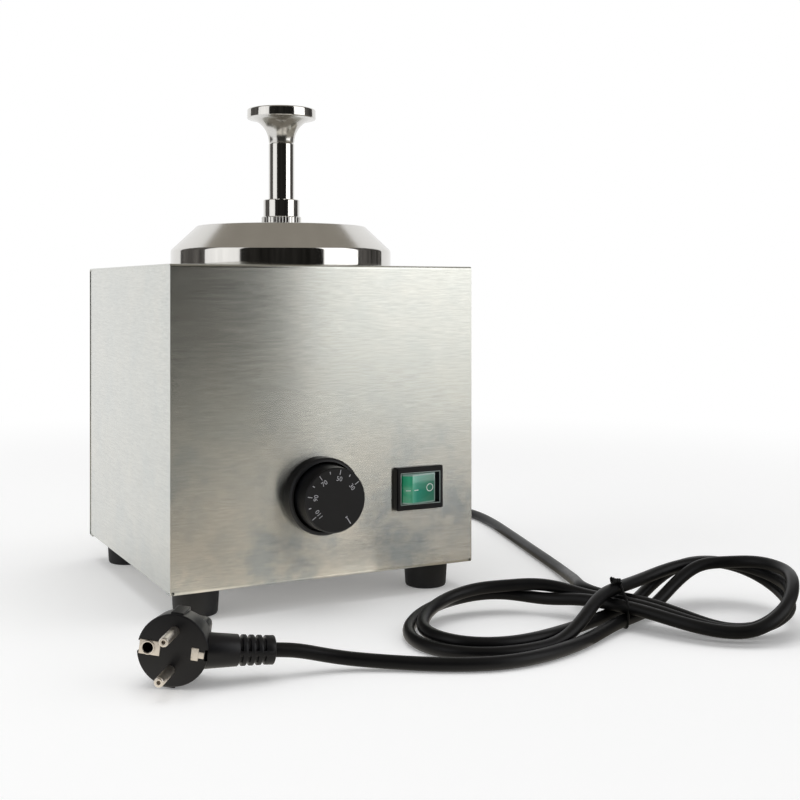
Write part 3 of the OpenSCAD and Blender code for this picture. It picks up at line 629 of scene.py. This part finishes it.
def route(points, n):
    """Catmull-Rom curve with n steps between points."""
    p = [Vector(q) for q in points]
    out = []
    for i in range(len(p) - 1):
        a, b, c, d = p[max(i - 1, 0)], p[i], p[i + 1], p[min(i + 2, len(p) - 1)]
        for k in range(n):
            u = k / n
            square = (2 * a - 5 * b + 4 * c - d) * u * u
            cube = (3 * b - a - 3 * c + d) * u**3
            out.append(0.5 * (2 * b + (c - a) * u + square + cube))
    out.append(p[-1])
    return out


def cord_route():
    """The whole cord from the gland to the plug's relief, evenly spaced and gently eased."""
    core = [hank_point(i * 180 / 60) for i in range(301)]
    inward = Vector((core[1].x - core[0].x, core[1].y - core[0].y, 0)).normalized()
    outward = Vector((core[-1].x - core[-2].x, core[-1].y - core[-2].y, 0)).normalized()
    start, end = core[0] - 8 * inward, core[-1] + 8 * outward
    free = route([CORD_START + Vector((0, 8, 0))] + CORD_POINTS + [start - 9 * inward], 6)
    lead = route([end + 9 * outward] + LEAD_POINTS + [RELIEF_END + 9 * RELIEF_DIR], 6)
    # the lead runs on into the sleeve
    inside = RELIEF_END - 4 * RELIEF_DIR
    whole = [CORD_START] + free + [start] + core + [end] + lead + [inside]
    eased = smooth_line(evenly(whole, 3.0), 8)
    # the free run settles into the hank in one long bend
    leaves, joins = Vector((186, -48, 3.8)), Vector((131, -178, 14))
    first = min(range(len(eased)), key=lambda i: (eased[i] - leaves).length)
    last = min(range(first, first + 60), key=lambda i: (eased[i] - joins).length)
    return eased[:first] + smooth_line(eased[first:last], 50) + eased[last:]


def evenly(points, step):
    """Points along a line at even steps."""
    out, left = [points[0]], step
    for a, b in zip(points, points[1:]):
        span = (b - a).length
        while span >= left > 0 and span > 1e-9:
            a = a + (b - a) * (left / span)
            out.append(a)
            span = (b - a).length
            left = step
        left -= span
    if (out[-1] - points[-1]).length < step * 0.4:
        out.pop()
    return out + [points[-1]]


def smooth_line(points, times):
    """Eases the bends of a line, its two end points at each side kept."""
    for _ in range(times):
        middle = [
            points[i] * 0.5 + (points[i - 1] + points[i + 1]) * 0.25
            for i in range(2, len(points) - 2)
        ]
        points = points[:2] + middle + points[-2:]
    return points


# Settings ----------------------------------------------------------------


class WarmerCordSettings(bpy.types.PropertyGroup):
    diameter: bpy.props.FloatProperty(
        name="Cord diameter",
        description="Outside diameter of the mains cord",
        default=0.0072,
        unit="LENGTH",
    )
    plug_roll: bpy.props.FloatProperty(
        name="Plug roll",
        description="Turn of the plug round its own pins' direction",
        default=math.radians(-7),
        subtype="ANGLE",
    )
    tie_radius: bpy.props.FloatProperty(
        name="Tie wire radius",
        description="Radius of the coated tie wire",
        default=0.0008,
        unit="LENGTH",
    )


class WarmerCabinetSettings(bpy.types.PropertyGroup):
    edge_break: bpy.props.FloatProperty(
        name="Edge break",
        description="Width by which the sheet's cut edges are broken",
        default=0.00035,
        unit="LENGTH",
    )


class WarmerLidSettings(bpy.types.PropertyGroup):
    turning_steps: bpy.props.IntProperty(
        name="Turning steps",
        description="Facets round the turned lid",
        default=192,
        min=48,
        max=256,
    )


class WarmerControlSettings(bpy.types.PropertyGroup):
    figure_height: bpy.props.FloatProperty(
        name="Figure size",
        description="Type size of the figures on the dial",
        default=0.0039,
        unit="LENGTH",
    )
    mark_radius: bpy.props.FloatProperty(
        name="Figure radius",
        description="Distance of the figures from the dial's centre",
        default=0.0128,
        unit="LENGTH",
    )


class WarmerStageSettings(bpy.types.PropertyGroup):
    floor_colour: bpy.props.FloatVectorProperty(
        name="Floor colour",
        description="Colour of the studio floor",
        default=linear("#F4F4F4")[:3],
        subtype="COLOR",
        size=3,
    )
    key_power: bpy.props.FloatProperty(
        name="Key power",
        description="Power of each large softbox",
        default=9.0,
        subtype="POWER",
    )


# Operators ---------------------------------------------------------------


class WARMER_OT_stage(bpy.types.Operator):
    """Pale floor, soft studio light and the camera at the photograph's view"""

    bl_idname = "warmer.stage"
    bl_label = "Studio"

    def execute(self, context):
        settings = context.scene.warmer_stage
        build_camera(context)
        build_floor(settings)
        build_world(context)
        build_lights(context, settings)
        context.scene.view_settings.view_transform = "Standard"
        return {"FINISHED"}


def build_camera(context):
    data = bpy.data.cameras.new("photo_camera")
    data.sensor_width = 36
    data.lens = CAMERA_LENS
    data.shift_y = CAMERA_SHIFT
    data.clip_start = 0.01
    piece = bpy.data.objects.new("photo_camera", data)
    piece.location = CAMERA_AT
    piece.rotation_euler = (math.radians(90), 0, math.radians(CAMERA_TURN))
    context.scene.collection.objects.link(piece)
    context.scene.camera = piece


def build_floor(settings):
    clear_selection()
    bpy.ops.mesh.primitive_grid_add(x_subdivisions=4, y_subdivisions=4, size=40, location=(0, 0, 0))
    floor = bpy.context.object
    floor.name = "studio_floor"
    made, tree, place = new_material("matt_paper_sweep")
    shown = view_rays(tree)
    paper = add(tree, "ShaderNodeBsdfDiffuse", {"Color": (*settings.floor_colour, 1)})
    lift = calculate(tree, "MULTIPLY", shown, FLOOR_GLOW)
    glow = add(tree, "ShaderNodeEmission", {"Color": (1, 1, 1, 1), "Strength": lift})
    near = add(tree, "ShaderNodeAddShader", {0: paper.outputs[0], 1: glow.outputs[0]})
    # the sweep turns into the white backdrop from 0.3 to 1.1 m away from the middle
    away = add(tree, "ShaderNodeVectorMath", {0: place}, operation="LENGTH").outputs["Value"]
    far = map_range(tree, away, 0.3, 1.1, interpolation_type="SMOOTHSTEP")
    fade = calculate(tree, "MULTIPLY", far, shown)
    white = add(tree, "ShaderNodeEmission", {"Color": (1, 1, 1, 1), "Strength": 1.0})
    links = {0: fade, 1: near.outputs[0], 2: white.outputs[0]}
    close_material(tree, add(tree, "ShaderNodeMixShader", links))
    floor.data.materials.append(made)


def view_rays(tree):
    """One for the rays that look at the studio, by the camera or through metal and glass."""
    seen = add(tree, "ShaderNodeLightPath").outputs
    first = calculate(tree, "MAXIMUM", seen["Is Camera Ray"], seen["Is Glossy Ray"])
    return calculate(tree, "MAXIMUM", first, seen["Is Transmission Ray"])


def build_world(context):
    world = bpy.data.worlds.new("studio_world")
    context.scene.world = world
    world.use_nodes = True
    tree = world.node_tree
    tree.nodes.clear()
    fill = add(tree, "ShaderNodeBackground", {"Color": (1, 1, 1, 1), "Strength": FILL})
    white = add(tree, "ShaderNodeBackground", {"Color": (1, 1, 1, 1), "Strength": 1.0})
    links = {0: view_rays(tree), 1: fill.outputs[0], 2: white.outputs[0]}
    both = add(tree, "ShaderNodeMixShader", links)
    add(tree, "ShaderNodeOutputWorld", {"Surface": both.outputs[0]})


def build_lights(context, settings):
    # azimuth from the camera's side, distance, height, width, height and power of each softbox
    for name, azimuth, radius, height, wide, tall, power in (
        ("right_softbox", 76, 1.6, 0.75, 1.6, 1.4, 0.45),
        ("left_softbox", -76, 1.6, 0.75, 1.6, 1.4, 1.0),
        ("top_softbox", 0, 0.0, 1.7, 1.4, 1.4, 1.15),
    ):
        data = bpy.data.lights.new(name, "AREA")
        data.shape = "RECTANGLE"
        data.size, data.size_y = wide, tall
        data.energy = settings.key_power * power
        lamp = bpy.data.objects.new(name, data)
        lamp.location = around_camera(azimuth, radius, height)
        aim = Vector((0, 0, 0.1)) - lamp.location
        lamp.rotation_euler = aim.to_track_quat("-Z", "Y").to_euler()
        # bright metal shows the cards below in place of the lamps
        lamp.visible_glossy = False
        context.scene.collection.objects.link(lamp)
    # the room that bright metal mirrors: start and end in degrees from the camera's side,
    # first and second edge as (radius, height) in metres, tone and strength
    for name, start, end, first, second, tone, strength in (
        ("room_front", -42, 42, (2.4, 0.0), (2.4, 2.6), "#242321", 1.0),
        ("room_right", 83, 125, (2.4, 0.0), (2.4, 2.6), "#545250", 1.0),
        ("room_left", -125, -83, (2.4, 0.0), (2.4, 2.6), "#545250", 1.0),
        ("card_right", 43, 83, (2.4, 0.0), (2.4, 2.6), "#FFFFFF", 2.0),
        ("card_left", -83, -43, (2.4, 0.0), (2.4, 2.6), "#FFFFFF", 1.2),
        ("table_right", 42, 125, (0.12, 0.001), (2.4, 0.001), "#FFF8E8", 0.3),
        ("table_near", -42, 42, (0.12, 0.001), (0.75, 0.001), "#FFFAF0", 0.84),
        ("table_front", -42, 42, (0.75, 0.001), (2.4, 0.001), "#2A2926", 1.0),
    ):
        room_card(name, start, end, first, second, tone, strength)
    room_ceiling()


def around_camera(azimuth, radius, height):
    """A place round the object, its azimuth counted from the camera's side."""
    a = math.radians(CAMERA_AZIMUTH + azimuth)
    return Vector((radius * math.cos(a), radius * math.sin(a), height))


def card_cloth(card, tone, strength, depth):
    """Lets only reflections show a card, in one tone."""
    made, tree, place = new_material(card.name + "_cloth")
    # folds about 250 mm apart, hanging straight down
    folds = noise(tree, scaled(tree, place, (1, 1, 0.08)), 250, 3, 0.6)
    fold = drift(tree, folds, strength * (1 - depth), strength * (1 + depth))
    links = {"Color": linear(tone), "Strength": fold}
    close_material(tree, add(tree, "ShaderNodeEmission", links))
    card.data.materials.append(made)
    card.visible_camera = False
    card.visible_diffuse = False
    card.visible_shadow = False
    card.visible_transmission = False
    return card


def room_card(name, start, end, first, second, tone, strength):
    """Curved card swept round the object between two edges, from one azimuth to another."""
    clear_selection()
    corner, other = around_camera(end, *first), around_camera(end, *second)
    bpy.ops.mesh.primitive_plane_add(size=0.1, location=corner)
    card = bpy.context.object
    card.name = name
    bpy.ops.object.transform_apply(location=True, rotation=True, scale=True)
    edit_all()
    bpy.ops.mesh.merge(type="CENTER")
    bpy.ops.mesh.extrude_region_move(TRANSFORM_OT_translate={"value": other - corner})
    bpy.ops.mesh.select_all(action="SELECT")
    bpy.ops.mesh.spin(steps=24, angle=math.radians(end - start), center=(0, 0, 0), axis=(0, 0, 1))
    bpy.ops.object.mode_set(mode="OBJECT")
    return card_cloth(card, tone, strength, 0.08 if strength > 1 else 0.75)


def room_ceiling():
    """Warm grey ceiling over the whole set."""
    clear_selection()
    bpy.ops.mesh.primitive_circle_add(
        vertices=64, radius=2.38, fill_type="NGON", location=(0, 0, 2.6)
    )
    ceiling = bpy.context.object
    ceiling.name = "room_ceiling"
    return card_cloth(ceiling, "#9A958C", 1.0, 0.3)


class WARMER_OT_cord(bpy.types.Operator):
    """Mains cord in its figure-eight hank, with its twist tie"""

    bl_idname = "warmer.cord"
    bl_label = "Cord and tie"

    def execute(self, context):
        settings = context.scene.warmer_cord
        points = cord_route()
        cord = wire_curve("mains_cord", points, settings.diameter / 2 / MM)
        cord.data.materials.append(finish_of("cord_pvc"))
        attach(cord, "housing")
        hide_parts("power_cord", "cord_hank", "cord_lead")
        tie = build_tie(settings, points)
        return {"FINISHED"}


def turns_left(a, b, c):
    """Whether flat points a, b and c turn counterclockwise."""
    return (b[0] - a[0]) * (c[1] - a[1]) > (b[1] - a[1]) * (c[0] - a[0])


def hull_of(points):
    """Convex outline of flat points, counterclockwise."""
    ordered = sorted(set(points))
    halves = []
    for row in (ordered, ordered[::-1]):
        half = []
        for q in row:
            while len(half) > 1 and not turns_left(half[-2], half[-1], q):
                half.pop()
            half.append(q)
        halves += half[:-1]
    return halves


def tie_outline(points, reach):
    """Where a wire lies tight round all the strands at the waist."""
    turn = math.radians(TIE_TURN)
    along = Vector((math.cos(turn), math.sin(turn), 0))
    across = Vector((-math.sin(turn), math.cos(turn), 0))
    middle = Vector((*HANK_CENTRE, 0)) - TIE_SHIFT * along
    ring = []
    for a, b in zip(points, points[1:]):
        u, v = (a - middle).dot(across), (b - middle).dot(across)
        if u * v <= 0 and u != v and abs((a - middle).dot(along)) < 30:
            spot = a + (b - a) * (u / (u - v)) - middle
            for k in range(24):
                turned = 2 * math.pi * k / 24
                side = spot.dot(along) + reach * math.cos(turned)
                height = max(spot.z + reach * math.sin(turned), 0.8)
                ring.append((round(side, 4), round(height, 4)))
    return [middle + along * s + Vector((0, 0, z)) for s, z in hull_of(ring)]


def build_tie(settings, points):
    """Coated wire tight round the waist, its two ends twisted together on top."""
    wire = settings.tie_radius / MM
    loop = tie_outline(points, settings.diameter / 2 / MM + wire + 0.1)
    loop = smooth_line(evenly(loop + [loop[0]], 1.2)[:-1], 2)
    ring = curve_to_mesh(wire_curve("tie_ring", loop, wire, cyclic=True, sides=4))
    knot = max(loop, key=lambda q: q.z - 0.6 * q.y)
    parts = [ring]
    for k in (0, 1):
        tail = []
        for i in range(48):
            t = i / 47
            a = 2 * math.pi * 2.2 * t + k * math.pi
            # two turns tight on the knot, then the ends part and curl over
            reach = 0.85 + 3.2 * max(0.0, t - 0.6)
            core = Vector((-5.5 * t + 0.5, 1.0 * t - 0.6, 0.9 + 1.4 * t * (1 - 0.9 * t)))
            round_core = Vector((0.25 * math.cos(a), math.cos(a), math.sin(a)))
            tail.append(knot + core + reach * round_core)
        parts.append(curve_to_mesh(wire_curve("tie_tail_%d" % k, tail, wire, sides=4)))
    tie = settle(joined(parts), "coated_tie", "housing", "cord_pvc", 60)
    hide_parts("twist_tie")
    return tie


class WARMER_OT_finishes(bpy.types.Operator):
    """Finish of every CAD node that stays visible"""

    bl_idname = "warmer.finishes"
    bl_label = "Finishes"

    def execute(self, context):
        special = {"side_panel_left": "side_steel", "side_panel_right": "side_steel"}
        for name, node in NODES.items():
            for slot in node.material_slots:
                key = special.get(name, slot.material.name.split(".")[0])
                slot.material = finish_of(key)
        return {"FINISHED"}


class WARMER_OT_wrap(bpy.types.Operator):
    """Cabinet wrap with its cut edges broken, so that they catch the light"""

    bl_idname = "warmer.wrap"
    bl_label = "Wrap edges"

    def execute(self, context):
        wrap = merged_copy("outer_wrap")
        soften_edges(wrap, context.scene.warmer_cabinet.edge_break, 50)
        settle(wrap, "folded_wrap", "housing", "sheet_steel", 30)
        # the flats are shaded flat, so only the bends and the broken edges blend
        for face in wrap.data.polygons:
            face.use_smooth = max(abs(part) for part in face.normal) < 0.9999
        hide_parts("outer_wrap")
        return {"FINISHED"}


class WARMER_OT_spring(bpy.types.Operator):
    """Return spring, five turns of wire round the pump's axis"""

    bl_idname = "warmer.spring"
    bl_label = "Return spring"

    def execute(self, context):
        turns, steps = 5, 40
        radius, foot, top, wire = 10.4, 118.9, 162.1, 0.75
        coil = []
        for i in range(turns * steps + 1):
            a = 2 * math.pi * i / steps
            rise = foot + i * (top - foot) / (turns * steps)
            coil.append((radius * math.cos(a), PUMP_AXIS[1] + radius * math.sin(a), rise))
        spring = curve_to_mesh(wire_curve("plunger_spring", coil, wire, sides=4))
        settle(spring, "plunger_spring", "pump", "zinc_steel", 60)
        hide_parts("return_spring")
        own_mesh(spring)
        return {"FINISHED"}


def print_bar(name, wide, tall, deep):
    """Thin printed bar with rounded ends, upright in the X-Z plane, in millimetres."""
    clear_selection()
    bpy.ops.mesh.primitive_cube_add(size=1, location=(0, 0, 0))
    bar = bpy.context.object
    bar.name = name
    bar.scale = mm(wide, deep, tall)
    bpy.ops.object.transform_apply(location=False, rotation=False, scale=True)
    edit_all()
    rounding = min(wide, tall) * 0.3 * MM
    bpy.ops.mesh.bevel(offset=rounding, segments=3, affect="EDGES", clamp_overlap=True)
    bpy.ops.object.mode_set(mode="OBJECT")
    return bar


def print_text(name, words, size):
    """Flat figures with a little depth, reading from the front."""
    clear_selection()
    bpy.ops.object.text_add(location=(0, 0, 0))
    text = bpy.context.object
    text.name = name
    text.data.body = words
    text.data.size = size
    text.data.align_x = "CENTER"
    text.data.align_y = "CENTER"
    text.data.extrude = 0.00004
    text.data.resolution_u = 3
    bpy.ops.object.convert(target="MESH")
    text = bpy.context.object
    text.data.transform(Matrix.Rotation(math.radians(90), 4, "X"))
    return text


def on_dial(piece, clock, radius):
    """Moves a mark made at the origin to a clock angle and radius on the dial's face."""
    a = math.radians(clock)
    turn = Matrix.Rotation(a, 4, "Y")
    x, z = DIAL_CENTRE[0] + radius * math.sin(a), DIAL_CENTRE[1] + radius * math.cos(a)
    piece.data.transform(Matrix.Translation(mm(x, DIAL_FACE_Y - 0.01, z)) @ turn)


class WARMER_OT_dial_marks(bpy.types.Operator):
    """White figures, ticks and the off mark on the thermostat knob"""

    bl_idname = "warmer.dial_marks"
    bl_label = "Dial marks"

    def execute(self, context):
        settings = context.scene.warmer_control
        marks = []
        for i, figure in enumerate(("110", "90", "70", "50", "30")):
            clock = -124.5 + 45 * i
            text = print_text("figure_" + figure, figure, settings.figure_height)
            on_dial(text, clock, settings.mark_radius / MM)
            tick = print_bar("tick_" + figure, 0.45, 3.0, 0.08)
            on_dial(tick, clock, 16.7)
            marks += [text, tick]
        for i in range(4):
            dot = print_bar("dot_%d" % i, 0.55, 1.5, 0.08)
            on_dial(dot, -102 + 45 * i, 16.8)
            marks.append(dot)
        off = print_bar("off_line", 0.55, 5.2, 0.08)
        on_dial(off, 146, 14.7)
        head = print_bar("off_head", 1.6, 0.55, 0.08)
        on_dial(head, 146, 12.3)
        marks += [off, head]
        settle(joined(marks), "dial_marks", "dial", "white_plastic", finish="mark_ink")
        return {"FINISHED"}


class WARMER_OT_rocker(bpy.types.Operator):
    """Green lens of the rocker with rounded edges and its moulded marks"""

    bl_idname = "warmer.rocker"
    bl_label = "Rocker"

    def execute(self, context):
        lens = merged_copy("switch_rocker")
        soften_edges(lens, 0.0006, 30)
        settle(lens, "rocker_lens", "rocker", "green_lens", 40)
        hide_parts("switch_rocker")

        # thin bars round the opening, on the bezel's face, pale with a painted highlight of its
        # inner edge
        x, z = SWITCH_CENTRE
        bars = []
        for side in (-1, 1):
            place = (x + side * 13.85, BEZEL_FACE_Y, z)
            bars.append(block("lip_highlight_side", (0.45, 0.2, 20.2), place, 0.05))
        for side in (-1, 1):
            place = (x, BEZEL_FACE_Y, z + side * 9.9)
            bars.append(block("lip_highlight_level", (28.1, 0.2, 0.45), place, 0.05))
        settle(joined(bars), "bezel_lip_highlight", "housing", "green_lens", finish="lip_highlight")

        # the dash runs on over the ridge in two bars, and the ring is on the long face
        place = Matrix.Translation(mm(x, PANEL_Y, z)) @ Matrix.Rotation(ROCKER_TILT, 4, "Z")
        dash = print_bar("rocker_dash", 3.3, 0.55, 0.08)
        dash.data.transform(place @ Matrix.Translation(mm(-6.2, -6.5, -0.6)))
        slope = math.atan2(4.7, 3.95)
        side_dash = print_bar("rocker_dash_side", 3.2, 0.55, 0.08)
        spot = Matrix.Translation(mm(-11.0, -4.42, -0.7)) @ Matrix.Rotation(-slope, 4, "Z")
        side_dash.data.transform(place @ spot)
        clear_selection()
        bpy.ops.mesh.primitive_torus_add(
            major_radius=0.0022, minor_radius=0.00024, major_segments=48, minor_segments=8
        )
        ring = bpy.context.object
        edit_all()
        bpy.ops.transform.resize(value=(1.14, 1.02, 0.16))
        bpy.ops.object.mode_set(mode="OBJECT")
        spot = Matrix.Translation(mm(4.9, -6.5, 0.2)) @ Matrix.Rotation(math.radians(90), 4, "X")
        ring.data.transform(place @ spot)
        marks = joined([dash, side_dash, ring])
        settle(marks, "rocker_marks", "rocker", "white_plastic", 50, "lens_ink")
        return {"FINISHED"}


class WARMER_OT_lid(bpy.types.Operator):
    """Polished lid and plunger knob, turned with rolled edges"""

    bl_idname = "warmer.lid"
    bl_label = "Lid and knob"

    def execute(self, context):
        axis = Matrix.Translation(mm(*PUMP_AXIS, 0))
        lid = spun(
            "turned_lid",
            rounded_profile(
                [
                    (72.0, 208.3, 0), (73.0, 208.3, 0.3), (73.0, 218.8, 2.6),
                    (55.8, 235.0, 1.6), (12.05, 235.0, 0), (12.05, 234.0, 0),
                    (55.2, 234.0, 1.0), (72.0, 218.2, 1.6), (72.0, 208.3, 0),
                ],
                8,
            )[:-1],
            context.scene.warmer_lid.turning_steps,
        )
        lid.data.transform(axis)
        settle(lid, "turned_lid", "lid", "polished_steel")
        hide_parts("lid")
        flare = [
            (22.5 - 14.0 * math.cos(math.radians(t)), 290.8 + 16 * math.sin(math.radians(t)))
            for t in range(4, 89, 3)
        ]
        knob = spun(
            "turned_knob",
            [(0, 290.6), (8.2, 290.6)]
            + flare
            + rounded_profile(
                [(22.5, 306.9, 0), (22.8, 307.4, 0.4), (22.8, 313.3, 1.1), (0, 313.3, 0)]
            ),
            96,
        )
        knob.data.transform(axis)
        settle(knob, "turned_knob", "plunger", "polished_steel")
        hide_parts("pump_knob")
        return {"FINISHED"}


class WARMER_OT_plug(bpy.types.Operator):
    """Angled mains plug with keyed sides, hollow pins, earth contacts and a slotted sleeve"""

    bl_idname = "warmer.plug"
    bl_label = "Plug"

    def execute(self, context):
        place = (
            Matrix.Translation(mm(*PLUG_AT))
            @ Matrix.Rotation(math.radians(PLUG_TURN), 4, "Z")
            @ Matrix.Rotation(math.radians(90), 4, "X")
            @ Matrix.Rotation(context.scene.warmer_cord.plug_roll, 4, "Z")
        )
        disc = [(0, -15, 0), (16.6, -15, 1.0), (17.7, 0, 0.7), (0, 0, 0)]
        body = spun("plug", rounded_profile(disc, 4), 96)
        cuts = [block("notch", (6, 5.4, 20), (side * 19.0, 0, -3)) for side in (-1, 1)]
        cuts.append(earth_hole(0.012, -3))
        carve(body, cuts)
        keys = [block("key", (6.4, 2.6, 13.5), (0, side * 17.0, -7.6), 0.5) for side in (-1, 1)]
        back = block("plug_back", (26, 24, 13), (0, 0, -19.5), 3.6)
        shell = joined([body, *keys, back])
        shell.data.transform(place)
        sleeve = build_sleeve()
        shell = settle(joined([shell, sleeve]), "angled_plug", "housing", "black_plastic")
        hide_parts("plug_body")

        hollow = [
            (0, -9, 0), (2.4, -9, 0), (2.4, 19, 0.7), (0.95, 19, 0.2), (0.75, 15, 0), (0, 15, 0),
        ]
        pins = []
        for side in (-1, 1):
            pin = spun("pin", rounded_profile(hollow, 4), 40)
            pin.data.transform(Matrix.Translation(mm(0, side * 9.5, 0)))
            pins.append(pin)
        pins = joined(pins)
        pins.data.transform(place)
        settle(pins, "hollow_pins", "housing", "plug_nickel")
        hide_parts("plug_pins")

        plate = block("earth_plate", (10.4, 7.0, 0.9), (-11.2, 0, 0.05), 0.25)
        carve(plate, [earth_hole(0.006, 0)])
        rim = [
            (2.6, -0.3, 0), (3.5, -0.3, 0), (3.5, 1.1, 0.35), (2.6, 1.1, 0.35), (2.6, -0.3, 0),
        ]
        collar = spun("earth_collar", rounded_profile(rim, 4)[:-1], 48)
        collar.data.transform(Matrix.Translation(mm(-12, 0, 0)))
        clip = block("earth_clip", (3.6, 6.2, 0.9), (11.2, 0, 0.05), 0.25)
        hook = block("earth_hook", (3.0, 3.2, 0.9), (14.2, -0.2, -0.15), 0.25)
        earth = joined([plate, collar, clip, hook])
        earth.data.transform(place)
        settle(earth, "earth_contacts", "housing", "plug_nickel")
        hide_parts("plug_earth")
        return {"FINISHED"}


def earth_hole(depth, height):
    """Cutter for the earth contact's hole in the plug's face."""
    clear_selection()
    bpy.ops.mesh.primitive_cylinder_add(
        vertices=40, radius=0.0026, depth=depth, location=mm(-12, 0, height)
    )
    return bpy.context.object


def carve(piece, cuts):
    """Cuts shapes out of a piece and removes them."""
    cutter = joined(cuts)
    take(piece)
    cut = piece.modifiers.new("cut", "BOOLEAN")
    cut.object = cutter
    cut.solver = "EXACT"
    bpy.ops.object.modifier_apply(modifier=cut.name)
    bpy.data.objects.remove(cutter)


def build_sleeve():
    """Slotted strain relief: a collar, three rings and a long end on a core, with a flat spine."""
    core = [(0.0, 2.6, 0), (7.1, 2.6, 0.6), (7.1, 7.4, 0.5), (5.6, 7.4, 0)]
    for i in range(4):
        foot, radius = 9.0 + 3.9 * i, 7.25 + 0.15 * i
        head = foot + 2.3 if i < 3 else 37.5
        wide = radius + (0.05 if i < 3 else 1.1)
        core += [(5.6 + 0.1 * i, foot, 0), (radius, foot, 0.5), (wide, head, 0.5)]
        core.append((5.7 + 0.1 * i if i < 3 else 0.0, head, 0))
    sleeve = spun("sleeve", rounded_profile(core, 3), 64)
    spine = block("spine", (14.4, 2.6, 18), (0, 0, 12.4), 0.6)
    sleeve = joined([sleeve, spine])
    level = Vector((-RELIEF_DIR.y, RELIEF_DIR.x, 0)).normalized()
    frame_of = Matrix((level, RELIEF_DIR.cross(level) * -1, -RELIEF_DIR)).transposed().to_4x4()
    sleeve.data.transform(Matrix.Translation(RELIEF_END * MM) @ frame_of)
    return sleeve


class WARMER_PT_panel(bpy.types.Panel):
    bl_idname = "WARMER_PT_panel"
    bl_label = "Topping warmer"
    bl_space_type = "VIEW_3D"
    bl_region_type = "UI"
    bl_category = "Warmer"

    def draw(self, context):
        for name, group in GROUPS.items():
            for key in group.__annotations__:
                self.layout.prop(getattr(context.scene, name), key)
        for operator in OPERATORS:
            self.layout.operator(operator.bl_idname)


GROUPS = {
    "warmer_cord": WarmerCordSettings,
    "warmer_cabinet": WarmerCabinetSettings,
    "warmer_lid": WarmerLidSettings,
    "warmer_control": WarmerControlSettings,
    "warmer_stage": WarmerStageSettings,
}
OPERATORS = (
    WARMER_OT_stage,
    WARMER_OT_plug,
    WARMER_OT_cord,
    WARMER_OT_wrap,
    WARMER_OT_lid,
    WARMER_OT_finishes,
    WARMER_OT_spring,
    WARMER_OT_dial_marks,
    WARMER_OT_rocker,
)


def register():
    for item in (*GROUPS.values(), *OPERATORS, WARMER_PT_panel):
        bpy.utils.register_class(item)
    for name, group in GROUPS.items():
        setattr(bpy.types.Scene, name, bpy.props.PointerProperty(type=group))


def unregister():
    for name in GROUPS:
        delattr(bpy.types.Scene, name)
    for item in (WARMER_PT_panel, *OPERATORS, *GROUPS.values()):
        bpy.utils.unregister_class(item)


def main():
    register()
    names = {key: item.name for key, item in build_materials().items()}
    bpy.context.scene["warmer_materials"] = names
    bpy.ops.warmer.stage()
    bpy.ops.warmer.plug()
    bpy.ops.warmer.cord()
    bpy.ops.warmer.wrap()
    bpy.ops.warmer.lid()
    bpy.ops.warmer.finishes()
    bpy.ops.warmer.spring()
    bpy.ops.warmer.dial_marks()
    bpy.ops.warmer.rocker()


if __name__ == "__main__":
    main()
